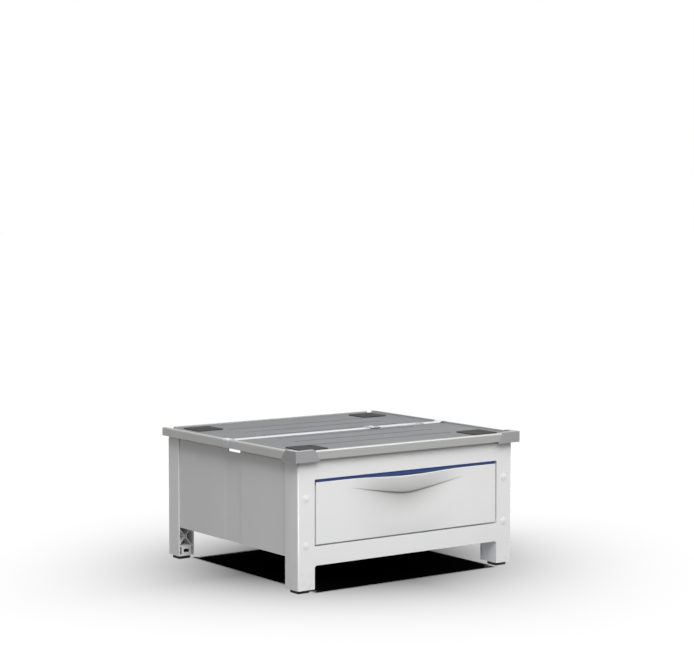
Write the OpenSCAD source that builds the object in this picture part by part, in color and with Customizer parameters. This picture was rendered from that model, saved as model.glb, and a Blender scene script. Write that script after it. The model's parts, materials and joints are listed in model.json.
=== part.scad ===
// Washer pedestal with one drawer, in millimetres.
// X is the width, -Y is the front, Z is up. The origin is on the floor, under the middle of the tray.

/* [Overall] */
// Width over the corner caps
tray_width = 616; // [580:1:660]
// Depth over the tray
tray_depth = 552; // [520:1:600]
// Height from the floor to the top of the corner caps
total_height = 307; // [300:1:340]

/* [Body] */
// How far the tray stands out past each side of the body
side_overhang = 14; // [12:0.5:18]
// How far the tray stands out past the front of the body
front_overhang = 13.5; // [12:0.5:18]
// How far the tray stands out past the rear legs
rear_overhang = 3.3; // [2:0.1:10]
// Gap between the floor and the bottom of the legs
foot_show = 8; // [6:0.5:14]
// Height of the bottom edge of the side panels above the floor
skirt_z = 75.5; // [66:0.5:86]
// Wall of the moulded front frame
frame_wall = 3.5; // [2.5:0.1:4]
// Radius of the frame's upright front edges
frame_edge_r = 3; // [1:0.5:3.5]

/* [Front frame] */
// Width of the front legs
leg_width = 43; // [38:0.5:50]
// Depth of the outer side of the front legs
leg_return = 48.5; // [44:0.5:56]
// Depth of the inner side of the front legs
leg_inner_depth = 55.5; // [52:0.5:62]
// Height of the underside of the rail below the drawer
lower_rail_z = 58.5; // [50:0.5:70]
// Height of the bottom of the drawer opening
opening_bottom = 99.5; // [94:0.5:104]
// Height of the top of the drawer opening
opening_top = 242.5; // [236:0.5:250]
// Depth of the box rails above and below the opening
frame_rail_depth = 16; // [12:0.5:18]
// Radius where the legs meet the rail below the drawer
crotch_r = 6; // [2:0.5:10]

/* [Rear legs] */
// Depth of a rear leg
rear_leg_depth = 44.4; // [40:0.2:52]
// How far a rear leg's outer face lies inside the front frame's
rear_leg_inset = 1.5; // [1:0.1:4]
// Wall of a rear leg
leg_wall = 3; // [2:0.1:4]
// Thickness of the ribs in the legs
rib = 2.2; // [1.6:0.1:3]
// Number of crossed rib cells in a rear leg
rib_cells = 5; // [3:1:7]
// Height of the foot socket at the bottom of each leg
socket_height = 23; // [22:0.5:32]
// How far the crossed ribs lie inside a rear leg's open front
rear_rib_setback = 6.5; // [2:0.5:9]

/* [Side panels] */
// Thickness of the side panels
panel = 3; // [2:0.1:3.4]
// How far the front panels lie inside the front frame's side
front_panel_inset = 3.5; // [2.5:0.1:5]
// How far the middle strip lies inside the front panels
lap_step = 3; // [2:0.1:4]
// How far the rear panels stand out past the middle strip
joggle = 1.5; // [0.5:0.1:2]
// Rear edge of the front panels
lap_front_y = -35; // [-60:1:-30]
// Where the rear panels step out again
lap_rear_y = 32; // [25:1:60]
// Overlap of the two panels
lap_length = 30; // [16:1:50]
// Width of the turned-in bottom edge
skirt_flange = 12; // [6:0.5:16]
// Width of the notch for the strap
strap_notch_width = 50; // [36:1:56]
// Height of the notch for the strap
strap_notch_height = 11; // [5:0.5:20]

/* [Rear crossbars] */
// Height of a crossbar
crossbar_height = 24.5; // [18:0.5:30]
// Depth of a crossbar
crossbar_depth = 24; // [16:0.5:28]
// Wall of a crossbar
crossbar_wall = 2; // [1.5:0.1:3]

/* [Tray] */
// Height of the tray rails
rail_height = 18.5; // [16:0.5:22]
// Width of the tray rails
rail_width = 30; // [26:0.5:36]
// Width of the raised outer lip of a rail
rail_lip = 10; // [7:0.5:13]
// Height of the lip above the deck
rail_lip_rise = 3; // [1.5:0.1:4]
// Wall of the rails
rail_wall = 2; // [1.5:0.1:2.5]
// Radius of the rail's top outer edge
rail_edge_r = 3.5; // [1:0.5:4.5]
// Radius of the rail's bottom outer edge
rail_foot_r = 1.8; // [0.5:0.1:2]
// Thickness of the deck
deck_thickness = 3; // [2:0.1:4]
// Number of ribs under the deck
deck_rib_count = 4; // [2:2:6]
// Width of a rib under the deck
deck_rib_width = 30; // [20:1:34]
// Sheet thickness of the ribs under the deck
deck_rib_sheet = 1.5; // [1:0.1:2]
// Size of an anti-slip pad
pad_size = 70; // [50:1:90]
// Thickness of an anti-slip pad
pad_thickness = 2; // [1:0.1:3]
// Distance from the sides of the tray to the middles of the pads
pad_margin_x = 73; // [70:1:110]
// Distance from the front and the rear of the tray to the middles of the pads
pad_margin_y = 66; // [64:1:100]

/* [Corner caps] */
// Wall of the corner caps outside the rails
cap_wall = 1.5; // [1:0.1:2.5]
// Height of the caps above the rails
cap_rise = 2; // [1:0.1:4]
// Depth of the caps below the rails
cap_drop = 4; // [3:0.1:6]
// Thickness of the lip under the rails
cap_under = 2.5; // [1.5:0.1:2.9]
// Length of a cap's front arm along its top
cap_front_top = 50; // [42:1:60]
// Length of a cap's front arm along its bottom
cap_front_bottom = 63; // [61:1:75]
// Length of a cap's side arm along its top
cap_side_top = 40; // [34:1:50]
// Length of a cap's side arm along its bottom
cap_side_bottom = 59; // [52:1:70]

/* [Feet] */
// Width of a foot
foot_width = 32; // [26:0.5:34]
// Depth of a foot
foot_depth = 33; // [26:0.5:36]
// Radius of a foot's plug
plug_r = 9; // [7:0.1:10]
// Height of a foot's plug
plug_height = 18; // [12:0.5:19]

/* [Drawer] */
// Gap between the drawer front and the sides of the opening
side_gap = 3.5; // [2:0.1:4]
// Gap below the drawer front
bottom_gap = 3; // [2:0.1:4]
// Gap above the drawer front at its ends
top_gap = 7; // [6:0.1:9]
// How far the top edge dips in the middle
top_dip = 5; // [2:0.1:7]
// Half of the length of the dip
dip_reach = 170; // [120:1:200]
// Wall of the drawer front
front_wall = 2.8; // [2:0.1:3]
// Depth of the drawer front's turned-in rim
front_rim = 13; // [12.5:0.1:14]
// Height of the crease of the grip at its middle
crease_z = 192.5; // [180:0.5:200]
// Rise of the crease for each millimetre away from its middle, towards its ends
crease_slope = 0.18; // [0.1:0.01:0.2]
// Half of the rounded stretch at the middle of the crease
crease_round = 30; // [10:1:60]
// Distance from the middle to each end of the grip
grip_reach = 160; // [120:1:170]
// Depth of the upper lip at the crease
lip_depth = 6; // [3:0.1:7]
// Depth of the dish below the crease
dish_depth = 9.5; // [7.5:0.1:10]
// Height over which the dish runs out below the crease
dish_height = 84; // [60:1:88]
// Thickness of the panel behind the drawer front
liner = 2.5; // [1.5:0.1:3]
// Gap between the panel's top and the top of the opening
liner_top_gap = 1.5; // [1:0.1:3]
// Wall of the tub
tub_wall = 2.5; // [2:0.1:3]
// Height of the tub
tub_height = 120; // [90:1:126]
// Gap between the tub's rim and the rear crossbars
tub_rear_gap = 15.7; // [12:0.1:60]
// Corner radius of the tub
tub_corner_r = 14; // [8:1:20]
// Width of the tub's rim
tub_rim = 6; // [3:0.5:8]

/* [Slides] */
// How far the cabinet slides run on past the front of the rear legs
slide_end = 10.7; // [9:0.1:16]
// Sheet thickness of the slides
slide_sheet = 1.2; // [1:0.1:1.5]
// Radius of the rollers
roller_r = 11; // [9:0.5:12]
// Width of the rollers
roller_width = 6; // [4:0.5:7]
// Radius of the roller pins
pin_r = 3; // [2.5:0.1:4]
// Radial clearance of a roller on its pin
pin_clearance = 0.05; // [0.02:0.01:0.09]
// Gap between a roller and the sheet that it runs on
roller_gap = 0.3; // [0.2:0.05:0.5]
// Room for each slide beside the tub
slide_room = 13; // [12:0.5:16]
// Travel of the drawer
travel = 360; // [250:5:370]

/* [Strap] */
// Width of the strap
strap_width = 24.5; // [20:0.5:32]
// Thickness of the strap
strap_thickness = 1; // [0.8:0.1:1.2]
// Middle of the strap along the depth
strap_y = 0.9; // [-8:0.1:4]
// Length of the doubled end beside the slider
strap_tail = 130; // [60:1:180]
// Middle of the slider along the width
slider_x = 95; // [40:1:140]
// Width of a slider bar
slider_bar = 4; // [3:0.1:6]
// Opening between two slider bars
slider_slot = 7; // [5:0.1:10]
// Sheet thickness of the slider
slider_sheet = 1.4; // [1:0.1:1.6]

/* [Screws] */
// Radius of the screw shanks
screw_r = 2; // [1.5:0.1:2.5]
// Radius of the screw heads
screw_head_r = 4; // [3:0.1:4.4]
// Height of the screw heads
screw_head = 2.5; // [1.5:0.1:3]
// Clearance round a screw shank
screw_clearance = 0.15; // [0.05:0.05:0.4]
// Height of the lower front screws
front_screw_low = 103; // [96:0.5:112]
// Height of the upper front screws
front_screw_high = 203; // [190:0.5:225]
// Radius of the round covers over the front screws
cover_r = 8.5; // [6:0.1:10]
// How far a cover stands out
cover_rise = 2; // [1:0.1:3]

/* [Hidden] */
$fn = 48;
eps = 0.01;
fit = 0.3;

// Setbacks of hidden parts from the faces that they are measured from
flange_setback = 12.5;
tray_screw_front_setback = 22.5;
tray_screw_rear_setback = 22.7;
front_foot_setback = 25;
rear_foot_setback = 22.2;
slide_setback = 19.5;
slide_rise = 8.5;
ride_rise = 3.3;
roller_end_setback = 37;
roller_side_gap = 1.2;
roller_hub_gap = 0.3;
tub_drop = 2.8;
drawer_screw_inset = 40;

// Body
body_half = tray_width / 2 - side_overhang;
body_front = front_overhang - tray_depth / 2;
body_rear = tray_depth / 2 - rear_overhang;
rail_top = total_height - cap_rise;
body_top = rail_top - rail_height;
leg_bottom = foot_show;
frame_height = body_top - leg_bottom;
inner_x = body_half - leg_width;
frame_inside = body_front + frame_wall;
post_rear = body_front + leg_return;
post_middle = body_half - leg_width / 2;

// Rear legs
rear_leg_outer = body_half - rear_leg_inset;
rear_leg_front = body_rear - rear_leg_depth;
rear_leg_middle = (rear_leg_outer + inner_x) / 2;
socket_top = leg_bottom + socket_height;
cell_width = rear_leg_outer - inner_x - 2 * leg_wall;
cell_height = (body_top - socket_top) / (rib_cells + 1);
rib_setback = 2;
function crossing_z(cell) = socket_top + cell_height * (cell + 0.5);
boss_r = 5;
boss_cells = [2, rib_cells - 1];

// Side panels
front_panel_outer = body_half - front_panel_inset;
middle_outer = front_panel_outer - lap_step;
rear_panel_outer = middle_outer + joggle;
front_flange_y = body_front + flange_setback;
boss_length = front_flange_y - body_front;
cover_recess = 7;
lap_start = lap_front_y - lap_length;
notch_middle = -3.6;
notch_front = notch_middle - strap_notch_width / 2;
notch_z = body_top - strap_notch_height;
lap_screw_y = lap_front_y - lap_length / 2;
crossbar_y = body_rear - crossbar_depth - 1;

// Tray
deck_rib_margin = 60;
rail_outer = tray_width / 2 - cap_wall;
front_rail_y = cap_wall - tray_depth / 2;
rear_rail_y = tray_depth / 2;
deck_top = rail_top - rail_lip_rise;
deck_under = deck_top - deck_thickness;
rail_inner = rail_outer - rail_width;
deck_half = rail_outer - rail_lip - fit;
deck_front = front_rail_y + rail_lip + fit;
deck_rear = rear_rail_y - rail_lip - fit;
tray_screw_x = rail_inner + screw_head_r + 1;
tray_screw_front_y = body_front + tray_screw_front_setback;
tray_screw_rear_y = body_rear - tray_screw_rear_setback;
front_foot_y = body_front + front_foot_setback;
rear_foot_y = rear_leg_front + rear_foot_setback;

// Slides
slide_web = inner_x - slide_sheet;
slide_front = body_front + slide_setback;
slide_rear = rear_leg_front + slide_end;
channel_bottom = opening_bottom + slide_rise;
channel_floor = channel_bottom + slide_sheet;
channel_height = 2 * roller_r + roller_gap + 1;
channel_top = channel_floor + channel_height + slide_sheet;
drawer_web_outer = inner_x - slide_room + slide_sheet;
drawer_web = inner_x - slide_room;
rear_roller_z = channel_floor + roller_gap + roller_r;
front_roller_z = channel_top + roller_gap + ride_rise - roller_r;
ride_z = front_roller_z + roller_r + roller_gap;
front_roller_y = slide_front + roller_r + 4;
rear_roller_y = slide_rear - roller_end_setback;
stop_y = rear_roller_y - travel - roller_r - 0.5;
cabinet_roller_x = slide_web - roller_side_gap - roller_width / 2;
drawer_roller_x = drawer_web_outer + roller_side_gap + roller_width / 2;
slide_screw_front_y = body_front + leg_inner_depth - screw_r - 3;
slide_screw_rear_y = slide_rear - 6;

// Drawer
front_half = inner_x - side_gap;
front_bottom = opening_bottom + bottom_gap;
front_top = opening_top - top_gap;
liner_front = body_front + front_rim;
tub_front = liner_front + liner;
tub_rear = crossbar_y - tub_rear_gap - tub_rim;
tub_floor = channel_bottom - tub_drop;
tub_half = drawer_web;
tub_top = tub_floor + tub_height;
liner_top = opening_top - liner_top_gap;
front_screw_x = front_half - drawer_screw_inset;
front_screw_zs = [front_bottom + 16, front_top - 18];

// Columns and rows of the sculpted drawer front
grip_columns = 40;
end_columns = 4;
lower_rows = 12;
upper_rows = 6;
crease_step = 0.8;
face_xs = concat(
    [for (i = [0 : end_columns - 1]) -front_half + i * (front_half - grip_reach) / end_columns],
    [for (i = [0 : grip_columns]) -grip_reach + i * 2 * grip_reach / grip_columns],
    [for (i = [1 : end_columns]) grip_reach + i * (front_half - grip_reach) / end_columns]);

// Strap
slider_reach = slider_bar * 1.5 + slider_slot;
slider_z = deck_top + 2 * strap_thickness;
tail_end = slider_x + slider_reach + strap_tail;

// Colours
white = "#ececec";
panel_white = "#e4e4e4";
rail_grey = "#c1c1be";
cap_grey = "#a5a5a7";
deck_grey = "#6a6c6e";
black = "#1b1b1c";
steel = "#b9bcc0";
blue = "#2d4b96";
strap_grey = "#d9dadb";
nylon = "#f1efe8";

// ---------- Helpers ----------

module block(x, y, z) {
    translate([x[0], y[0], z[0]]) cube([x[1] - x[0], y[1] - y[0], z[1] - z[0]]);
}

module on_both_sides() {
    children();
    mirror([1, 0, 0]) children();
}

// A flat outline drawn in X and Z, made thick along Y.
module upright_sheet(y, thickness) {
    translate([0, y + thickness, 0]) rotate([90, 0, 0]) linear_extrude(thickness) children();
}

// A profile drawn as (distance, Z), run along Y.
module along_y(y0, y1) {
    translate([0, y1, 0]) rotate([90, 0, 0]) linear_extrude(y1 - y0) children();
}

// A profile drawn as (Y, Z), run along X.
module along_x(x0, x1) {
    translate([x0, 0, 0]) rotate([90, 0, 90]) linear_extrude(x1 - x0) children();
}

// A rectangle with its four corners rounded.
module rounded_rect(x, y, r) {
    translate([x[0] + r, y[0]]) square([x[1] - x[0] - 2 * r, y[1] - y[0]]);
    translate([x[0], y[0] + r]) square([x[1] - x[0], y[1] - y[0] - 2 * r]);
    for (cx = [x[0] + r, x[1] - r], cy = [y[0] + r, y[1] - r]) translate([cx, cy]) circle(r);
}

// A pan-head screw. It starts under its head and points along +Z.
module screw(length) {
    translate([0, 0, -screw_head]) cylinder(h = screw_head, r = screw_head_r);
    cylinder(h = length, r = screw_r);
}

module screw_hole(length) {
    translate([0, 0, -eps]) cylinder(h = length + 2 * eps, r = screw_r + screw_clearance);
}

// Two crossed ribs that fill a cell of the given width and height, run back along Y.
module crossed_ribs(width, height, depth) {
    lean = atan2(height, width);
    intersection() {
        translate([-width / 2 - eps, 0, -height / 2 - eps]) cube([width + 2 * eps, depth, height + 2 * eps]);
        for (side = [-1, 1])
            rotate([0, side * lean, 0])
                translate([-width - height, 0, -rib / 2]) cube([2 * (width + height), depth, rib]);
    }
}

// ---------- Front frame ----------

module frame_face_outline() {
    difference() {
        translate([-body_half, leg_bottom]) square([2 * body_half, frame_height]);
        rounded_rect([-inner_x, inner_x], [opening_bottom, opening_top], 2);
        translate([-inner_x, leg_bottom - eps]) square([2 * inner_x, lower_rail_z - leg_bottom - crotch_r + eps]);
        translate([crotch_r - inner_x, leg_bottom - eps])
            square([2 * (inner_x - crotch_r), lower_rail_z - leg_bottom + eps]);
        for (side = [-1, 1])
            translate([side * (inner_x - crotch_r), lower_rail_z - crotch_r]) circle(crotch_r);
    }
}

// Plan of the right front leg: a channel that is open to the rear.
module front_leg_plan() {
    translate([inner_x, body_front]) square([leg_width, frame_wall]);
    translate([inner_x, body_front]) square([frame_wall, leg_inner_depth]);
    translate([body_half - frame_wall, body_front]) square([frame_wall, leg_return]);
}

module frame_plan_limit() {
    translate([-body_half, body_front + frame_edge_r]) square([2 * body_half, tray_depth]);
    translate([frame_edge_r - body_half, body_front]) square([2 * (body_half - frame_edge_r), tray_depth]);
    for (side = [-1, 1])
        translate([side * (body_half - frame_edge_r), body_front + frame_edge_r]) circle(frame_edge_r);
}

module front_leg_inside() {
    plate_z = [leg_bottom, leg_bottom + frame_wall];
    span_x = [inner_x + frame_wall - eps, body_half - frame_wall + eps];
    difference() {
        block(span_x, [frame_inside - eps, post_rear - 3], plate_z);
        translate([post_middle, front_foot_y, leg_bottom - eps])
            cylinder(h = frame_wall + 2 * eps, r = plug_r + fit);
    }
    block(span_x, [frame_inside - eps, post_rear - 3], [socket_top - rib, socket_top]);
    // crossed ribs of the part of the leg that shows from behind
    translate([post_middle, frame_inside - eps, socket_top + cell_height / 2])
        crossed_ribs(span_x[1] - span_x[0], cell_height, leg_return - frame_wall - rib_setback);
    // short ribs in front of the side panel's flange
    for (z = [skirt_z + 25 : 40 : body_top - 30])
        block(span_x, [frame_inside - eps, front_flange_y - 1], [z, z + rib]);
    // top plate, with the hole of the tray screw
    difference() {
        block(span_x, [frame_inside - eps, post_rear], [body_top - frame_wall, body_top]);
        translate([tray_screw_x, tray_screw_front_y, body_top - frame_wall]) screw_hole(frame_wall);
    }
    // smooth bead along the rear edge of the leg's inner side
    block([inner_x - 1.5, inner_x + eps], [body_front + leg_inner_depth - 3, body_front + leg_inner_depth],
        [leg_bottom, opening_bottom - 4]);
}

module front_screw_places() {
    for (side = [-1, 1], z = [front_screw_low, front_screw_high])
        translate([side * post_middle, body_front, z]) rotate([-90, 0, 0]) children();
}

module rail_box(z0, z1) {
    rear = body_front + frame_rail_depth;
    for (z = [z0, z1 - frame_wall]) block([-inner_x - eps, inner_x + eps], [frame_inside - eps, rear],
        [z, z + frame_wall]);
}

module front_frame() {
    color(white) intersection() {
        difference() {
            union() {
                upright_sheet(body_front, frame_wall) frame_face_outline();
                on_both_sides() {
                    translate([0, 0, leg_bottom]) linear_extrude(frame_height) front_leg_plan();
                    front_leg_inside();
                }
                rail_box(lower_rail_z, opening_bottom);
                rail_box(opening_top, body_top);
                for (x = [-1, 0, 1] * inner_x * 0.64) {
                    block([x - rib / 2, x + rib / 2], [frame_inside - eps, body_front + frame_rail_depth],
                        [lower_rail_z + eps, opening_bottom - eps]);
                    block([x - rib / 2, x + rib / 2], [frame_inside - eps, body_front + frame_rail_depth],
                        [opening_top + eps, body_top - eps]);
                }
                front_screw_places() cylinder(h = boss_length, r = cover_r - 1);
            }
            front_screw_places() {
                translate([0, 0, -eps]) cylinder(h = cover_recess + 2 * eps, r = screw_head_r + 1);
                cylinder(h = boss_length + eps, r = screw_r + screw_clearance);
            }
            slide_screw_places() screw_hole(frame_wall + 4);
        }
        translate([0, 0, leg_bottom]) linear_extrude(frame_height) frame_plan_limit();
    }
}

module frame_screws() {
    color(steel) front_screw_places() translate([0, 0, cover_recess]) screw(boss_length + panel - cover_recess + 4);
}

// Domed covers with a small centre nub and a plug behind.
module screw_covers() {
    plug = screw_head_r + 1 - 0.1;
    color(white) front_screw_places() rotate([180, 0, 0]) rotate_extrude() {
        intersection() {
            translate([0, cover_rise - dome_r()]) circle(dome_r(), $fn = 160);
            square([cover_r, cover_rise]);
        }
        square([2, cover_rise + 0.4]);
        translate([0, -3]) square([plug, 3 + eps]);
    }
}

// Radius of the sphere that the covers are cut from.
function dome_r() = ((cover_r + 0.6) * (cover_r + 0.6) + cover_rise * cover_rise) / (2 * cover_rise);

// ---------- Rear legs ----------

module rear_leg_plan() {
    difference() {
        rounded_rect([inner_x, rear_leg_outer], [rear_leg_front, body_rear], 1.5);
        translate([inner_x + leg_wall, rear_leg_front - eps]) square([cell_width, rear_leg_depth - leg_wall + eps]);
    }
}

// The foot socket: a closed face with two upright slots and a window for the foot's catch.
module foot_socket_face() {
    difference() {
        translate([inner_x + leg_wall - eps, leg_bottom]) square([cell_width + 2 * eps, socket_height]);
        for (side = [-1, 1])
            translate([rear_leg_middle + side * (cell_width / 2 - 2.8) - 2, leg_bottom + 3])
                square([4, socket_height - 5]);
        translate([rear_leg_middle - 7.5, leg_bottom + 8]) square([15, 8]);
    }
}

module rear_leg() {
    span_x = [inner_x + leg_wall - eps, rear_leg_outer - leg_wall + eps];
    span_y = [rear_leg_front + rear_rib_setback, body_rear - leg_wall + eps];
    span_depth = span_y[1] - span_y[0];
    low_boss_y = span_y[0] - 1;
    difference() {
        union() {
            translate([0, 0, leg_bottom]) linear_extrude(frame_height) rear_leg_plan();
            upright_sheet(rear_leg_front, leg_wall) foot_socket_face();
            block(span_x, [rear_leg_front + eps, body_rear - eps], [leg_bottom, leg_bottom + leg_wall]);
            block(span_x, [rear_leg_front + eps, body_rear - eps], [body_top - leg_wall, body_top]);
            // the lowest plate closes the socket and reaches the leg's front
            for (cell = [0 : rib_cells])
                block(span_x, [cell == 0 ? rear_leg_front + eps : span_y[0], span_y[1]],
                    [socket_top + cell * cell_height - rib / 2, socket_top + cell * cell_height + rib / 2]);
            for (cell = [0 : rib_cells - 1]) translate([rear_leg_middle, span_y[0], crossing_z(cell)])
                crossed_ribs(cell_width, cell_height, span_depth);
            for (cell = boss_cells) translate([rear_leg_middle, rear_leg_front, crossing_z(cell)])
                rotate([-90, 0, 0]) cylinder(h = 20, r = boss_r);
            translate([rear_leg_middle, low_boss_y, crossing_z(0)]) rotate([-90, 0, 0])
                cylinder(h = span_depth / 2, r = boss_r - 0.5);
        }
        translate([rear_leg_middle, low_boss_y - eps, crossing_z(0)]) rotate([-90, 0, 0])
            cylinder(h = 14, r = screw_r + screw_clearance);
        translate([rear_leg_middle, rear_foot_y, leg_bottom - eps])
            cylinder(h = leg_wall + 2 * eps, r = plug_r + fit);
        for (cell = boss_cells) translate([rear_leg_middle, rear_leg_front - eps, crossing_z(cell)])
            rotate([-90, 0, 0]) cylinder(h = 16, r = screw_r + screw_clearance);
        translate([tray_screw_x, tray_screw_rear_y, body_top - leg_wall]) screw_hole(leg_wall);
        slide_screw_places() screw_hole(leg_wall + 4);
        crossbar_screw_places() screw_hole(leg_wall);
    }
}

module rear_right_leg() {
    color(white) rear_leg();
}

module rear_left_leg() {
    color(white) mirror([1, 0, 0]) rear_leg();
}

// ---------- Side panels ----------

module front_panel_plan() {
    translate([front_panel_outer - panel, front_flange_y]) square([panel, lap_front_y - front_flange_y]);
    translate([inner_x + frame_wall + 2, front_flange_y])
        square([front_panel_outer - inner_x - frame_wall - 2, panel]);
}

module front_panel() {
    difference() {
        union() {
            translate([0, 0, skirt_z]) linear_extrude(body_top - frame_wall - skirt_z) front_panel_plan();
            block([front_panel_outer - panel, front_panel_outer], [post_rear, lap_front_y], [skirt_z, body_top]);
            block([front_panel_outer - skirt_flange, front_panel_outer - eps], [post_rear, lap_start - 1],
                [skirt_z, skirt_z + panel]);
        }
        front_screw_places() screw_hole(boss_length + panel + 2);
        lap_screw_places() screw_hole(2 * panel - 1);
    }
}

module right_front_panel() {
    color(panel_white) front_panel();
}

module left_front_panel() {
    color(panel_white) mirror([1, 0, 0]) front_panel();
}

module rear_panel_plan() {
    translate([middle_outer - panel, lap_start]) square([panel, lap_rear_y - lap_start + eps]);
    translate([rear_panel_outer - panel, lap_rear_y]) square([panel, rear_leg_front - lap_rear_y]);
    translate([middle_outer - panel, lap_rear_y - panel]) square([panel + eps, panel + eps]);
    translate([inner_x + 0.5, rear_leg_front - panel]) square([rear_panel_outer - inner_x - 0.5 - eps, panel]);
}

module rear_panel() {
    difference() {
        union() {
            translate([0, 0, skirt_z]) linear_extrude(body_top - skirt_z) rear_panel_plan();
            block([middle_outer - skirt_flange, middle_outer - eps], [lap_start, rear_leg_front - eps],
                [skirt_z, skirt_z + panel]);
        }
        block([middle_outer - panel - 1, middle_outer + 1], [notch_front, notch_front + strap_notch_width],
            [notch_z, body_top + eps]);
        for (cell = boss_cells) translate([rear_leg_middle, rear_leg_front - panel, crossing_z(cell)])
            rotate([-90, 0, 0]) screw_hole(panel);
        lap_screw_places() screw_hole(2 * panel + 2);
        // room for the cabinet slide in front of the leg
        block([slide_web - 1, inner_x + 1], [rear_leg_front - panel - 1, rear_leg_front + eps],
            [channel_bottom - 1, channel_top + 1]);
    }
}

module right_rear_panel() {
    color(panel_white) rear_panel();
}

module left_rear_panel() {
    color(panel_white) mirror([1, 0, 0]) rear_panel();
}

// Screws through the lap of the two panels, driven from inside.
module lap_screw_places() {
    for (side = [0, 1]) mirror([side, 0, 0])
        for (z = [skirt_z + 40, body_top - 50])
            translate([middle_outer - panel, lap_screw_y, z]) rotate([0, 90, 0]) children();
}

module panel_screws() {
    color(steel) {
        lap_screw_places() screw(2 * panel - 1.2);
        for (side = [0, 1]) mirror([side, 0, 0]) for (cell = boss_cells)
            translate([rear_leg_middle, rear_leg_front - panel, crossing_z(cell)])
                rotate([-90, 0, 0]) screw(panel + 14);
    }
}

// ---------- Rear crossbars ----------

module crossbar_profile() {
    difference() {
        rounded_rect([0, crossbar_depth], [0, crossbar_height], 1);
        translate([-eps, crossbar_wall])
            square([crossbar_depth - crossbar_wall + eps, crossbar_height - 2 * crossbar_wall]);
    }
}

module crossbar(z) {
    boss = 5;
    difference() {
        union() {
            translate([0, crossbar_y, z]) along_x(-inner_x, inner_x) crossbar_profile();
            for (side = [-1, 1])
                translate([side * (inner_x - 9), crossbar_y + crossbar_depth - boss - 1, z + crossbar_height / 2])
                rotate([0, 90, 0]) cylinder(h = 18, r = boss, center = true);
        }
        crossbar_screw_places() screw_hole(leg_wall + 14);
    }
}

function crossbar_zs() = [skirt_z, body_top - crossbar_height];

module crossbar_screw_places() {
    for (side = [0, 1]) mirror([side, 0, 0])
        for (z = crossbar_zs())
            translate([inner_x + leg_wall, body_rear - 7, z + crossbar_height / 2]) rotate([0, -90, 0]) children();
}

module rear_upper_crossbar() {
    color(panel_white) crossbar(crossbar_zs()[1]);
}

module rear_lower_crossbar() {
    color(panel_white) crossbar(crossbar_zs()[0]);
}

module crossbar_screws() {
    color(steel) crossbar_screw_places() screw(leg_wall + 12);
}

// ---------- Tray ----------

// Profile of a rail, as (distance outwards from its inner side, Z): a box with a ledge for the deck.
module rail_profile() {
    difference() {
        union() {
            translate([0, body_top]) square([rail_width, deck_under - body_top]);
            translate([rail_width - rail_lip, body_top]) square([rail_lip - rail_edge_r, rail_height]);
            translate([rail_width - rail_lip, body_top]) square([rail_lip - rail_foot_r, rail_height / 2]);
            translate([rail_width - rail_lip, body_top + rail_foot_r])
                square([rail_lip, rail_height - rail_edge_r - rail_foot_r]);
            translate([rail_width - rail_edge_r, rail_top - rail_edge_r]) circle(rail_edge_r);
            translate([rail_width - rail_foot_r, body_top + rail_foot_r]) circle(rail_foot_r);
        }
        translate([rail_wall, body_top + rail_wall])
            square([rail_width - 2 * rail_wall, deck_under - body_top - 2 * rail_wall]);
        translate([rail_width - rail_lip + rail_wall, body_top + rail_wall])
            square([rail_lip - 2 * rail_wall, rail_height - rail_wall - rail_edge_r - 1]);
    }
}

module side_rail() {
    difference() {
        translate([rail_inner, 0, 0]) along_y(front_rail_y, rear_rail_y) rail_profile();
        for (y = [tray_screw_front_y, tray_screw_rear_y]) translate([tray_screw_x, y, body_top])
            screw_hole(rail_wall);
    }
}

module right_rail() {
    color(rail_grey) side_rail();
}

module left_rail() {
    color(rail_grey) mirror([1, 0, 0]) side_rail();
}

module front_rail() {
    color(rail_grey) translate([0, front_rail_y + rail_width, 0])
        along_x(-rail_inner, rail_inner) mirror([1, 0]) rail_profile();
}

module rear_rail() {
    color(rail_grey) translate([0, rear_rail_y - rail_width, 0]) along_x(-rail_inner, rail_inner) rail_profile();
}

module tray_screws() {
    color(steel) for (side = [0, 1]) mirror([side, 0, 0]) {
        translate([tray_screw_x, tray_screw_front_y, body_top - frame_wall]) screw(frame_wall + rail_wall + 4);
        translate([tray_screw_x, tray_screw_rear_y, body_top - leg_wall]) screw(leg_wall + rail_wall + 4);
    }
}

// A band that follows the front right corner, between two insets from the cap's outer faces.
module corner_band(inset0, inset1, z0, z1, edge_r) {
    x1 = tray_width / 2 - inset0;
    y0 = inset0 - tray_depth / 2;
    translate([0, 0, z0]) linear_extrude(z1 - z0) difference() {
        intersection() {
            translate([x1 - 90, y0]) square([90, 90]);
            union() {
                translate([x1 - 100, y0 + edge_r]) square([100, 100]);
                translate([x1 - 100, y0]) square([100 - edge_r, 100]);
                translate([x1 - edge_r, y0 + edge_r]) circle(edge_r);
            }
        }
        translate([x1 - 91, y0 + inset1 - inset0]) square([91 - inset1 + inset0, 91]);
    }
}

// An open L-shaped cap that grips the two rails. Its ends slope.
module corner_cap() {
    z0 = body_top - cap_drop;
    height = total_height - z0;
    lip_in = cap_wall + rail_lip;
    intersection() {
        union() {
            corner_band(0, cap_wall, z0, total_height, 2);
            corner_band(0, lip_in + cap_wall, rail_top, total_height, 2);
            corner_band(lip_in, lip_in + cap_wall, deck_top, total_height, 0.5);
            corner_band(cap_wall - eps, side_overhang - fit, body_top - cap_under, body_top, 0.5);
        }
        union() {
            upright_sheet(-tray_depth / 2, lip_in + cap_wall) polygon([
                [tray_width / 2, z0], [tray_width / 2, total_height],
                [tray_width / 2 - cap_front_top, total_height], [tray_width / 2 - cap_front_bottom, z0]]);
            along_x(tray_width / 2 - lip_in - cap_wall, tray_width / 2) polygon([
                [-tray_depth / 2, z0], [-tray_depth / 2, total_height],
                [cap_side_top - tray_depth / 2, total_height], [cap_side_bottom - tray_depth / 2, z0]]);
        }
    }
}

module right_corner_cap() {
    color(cap_grey) corner_cap();
}

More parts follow.
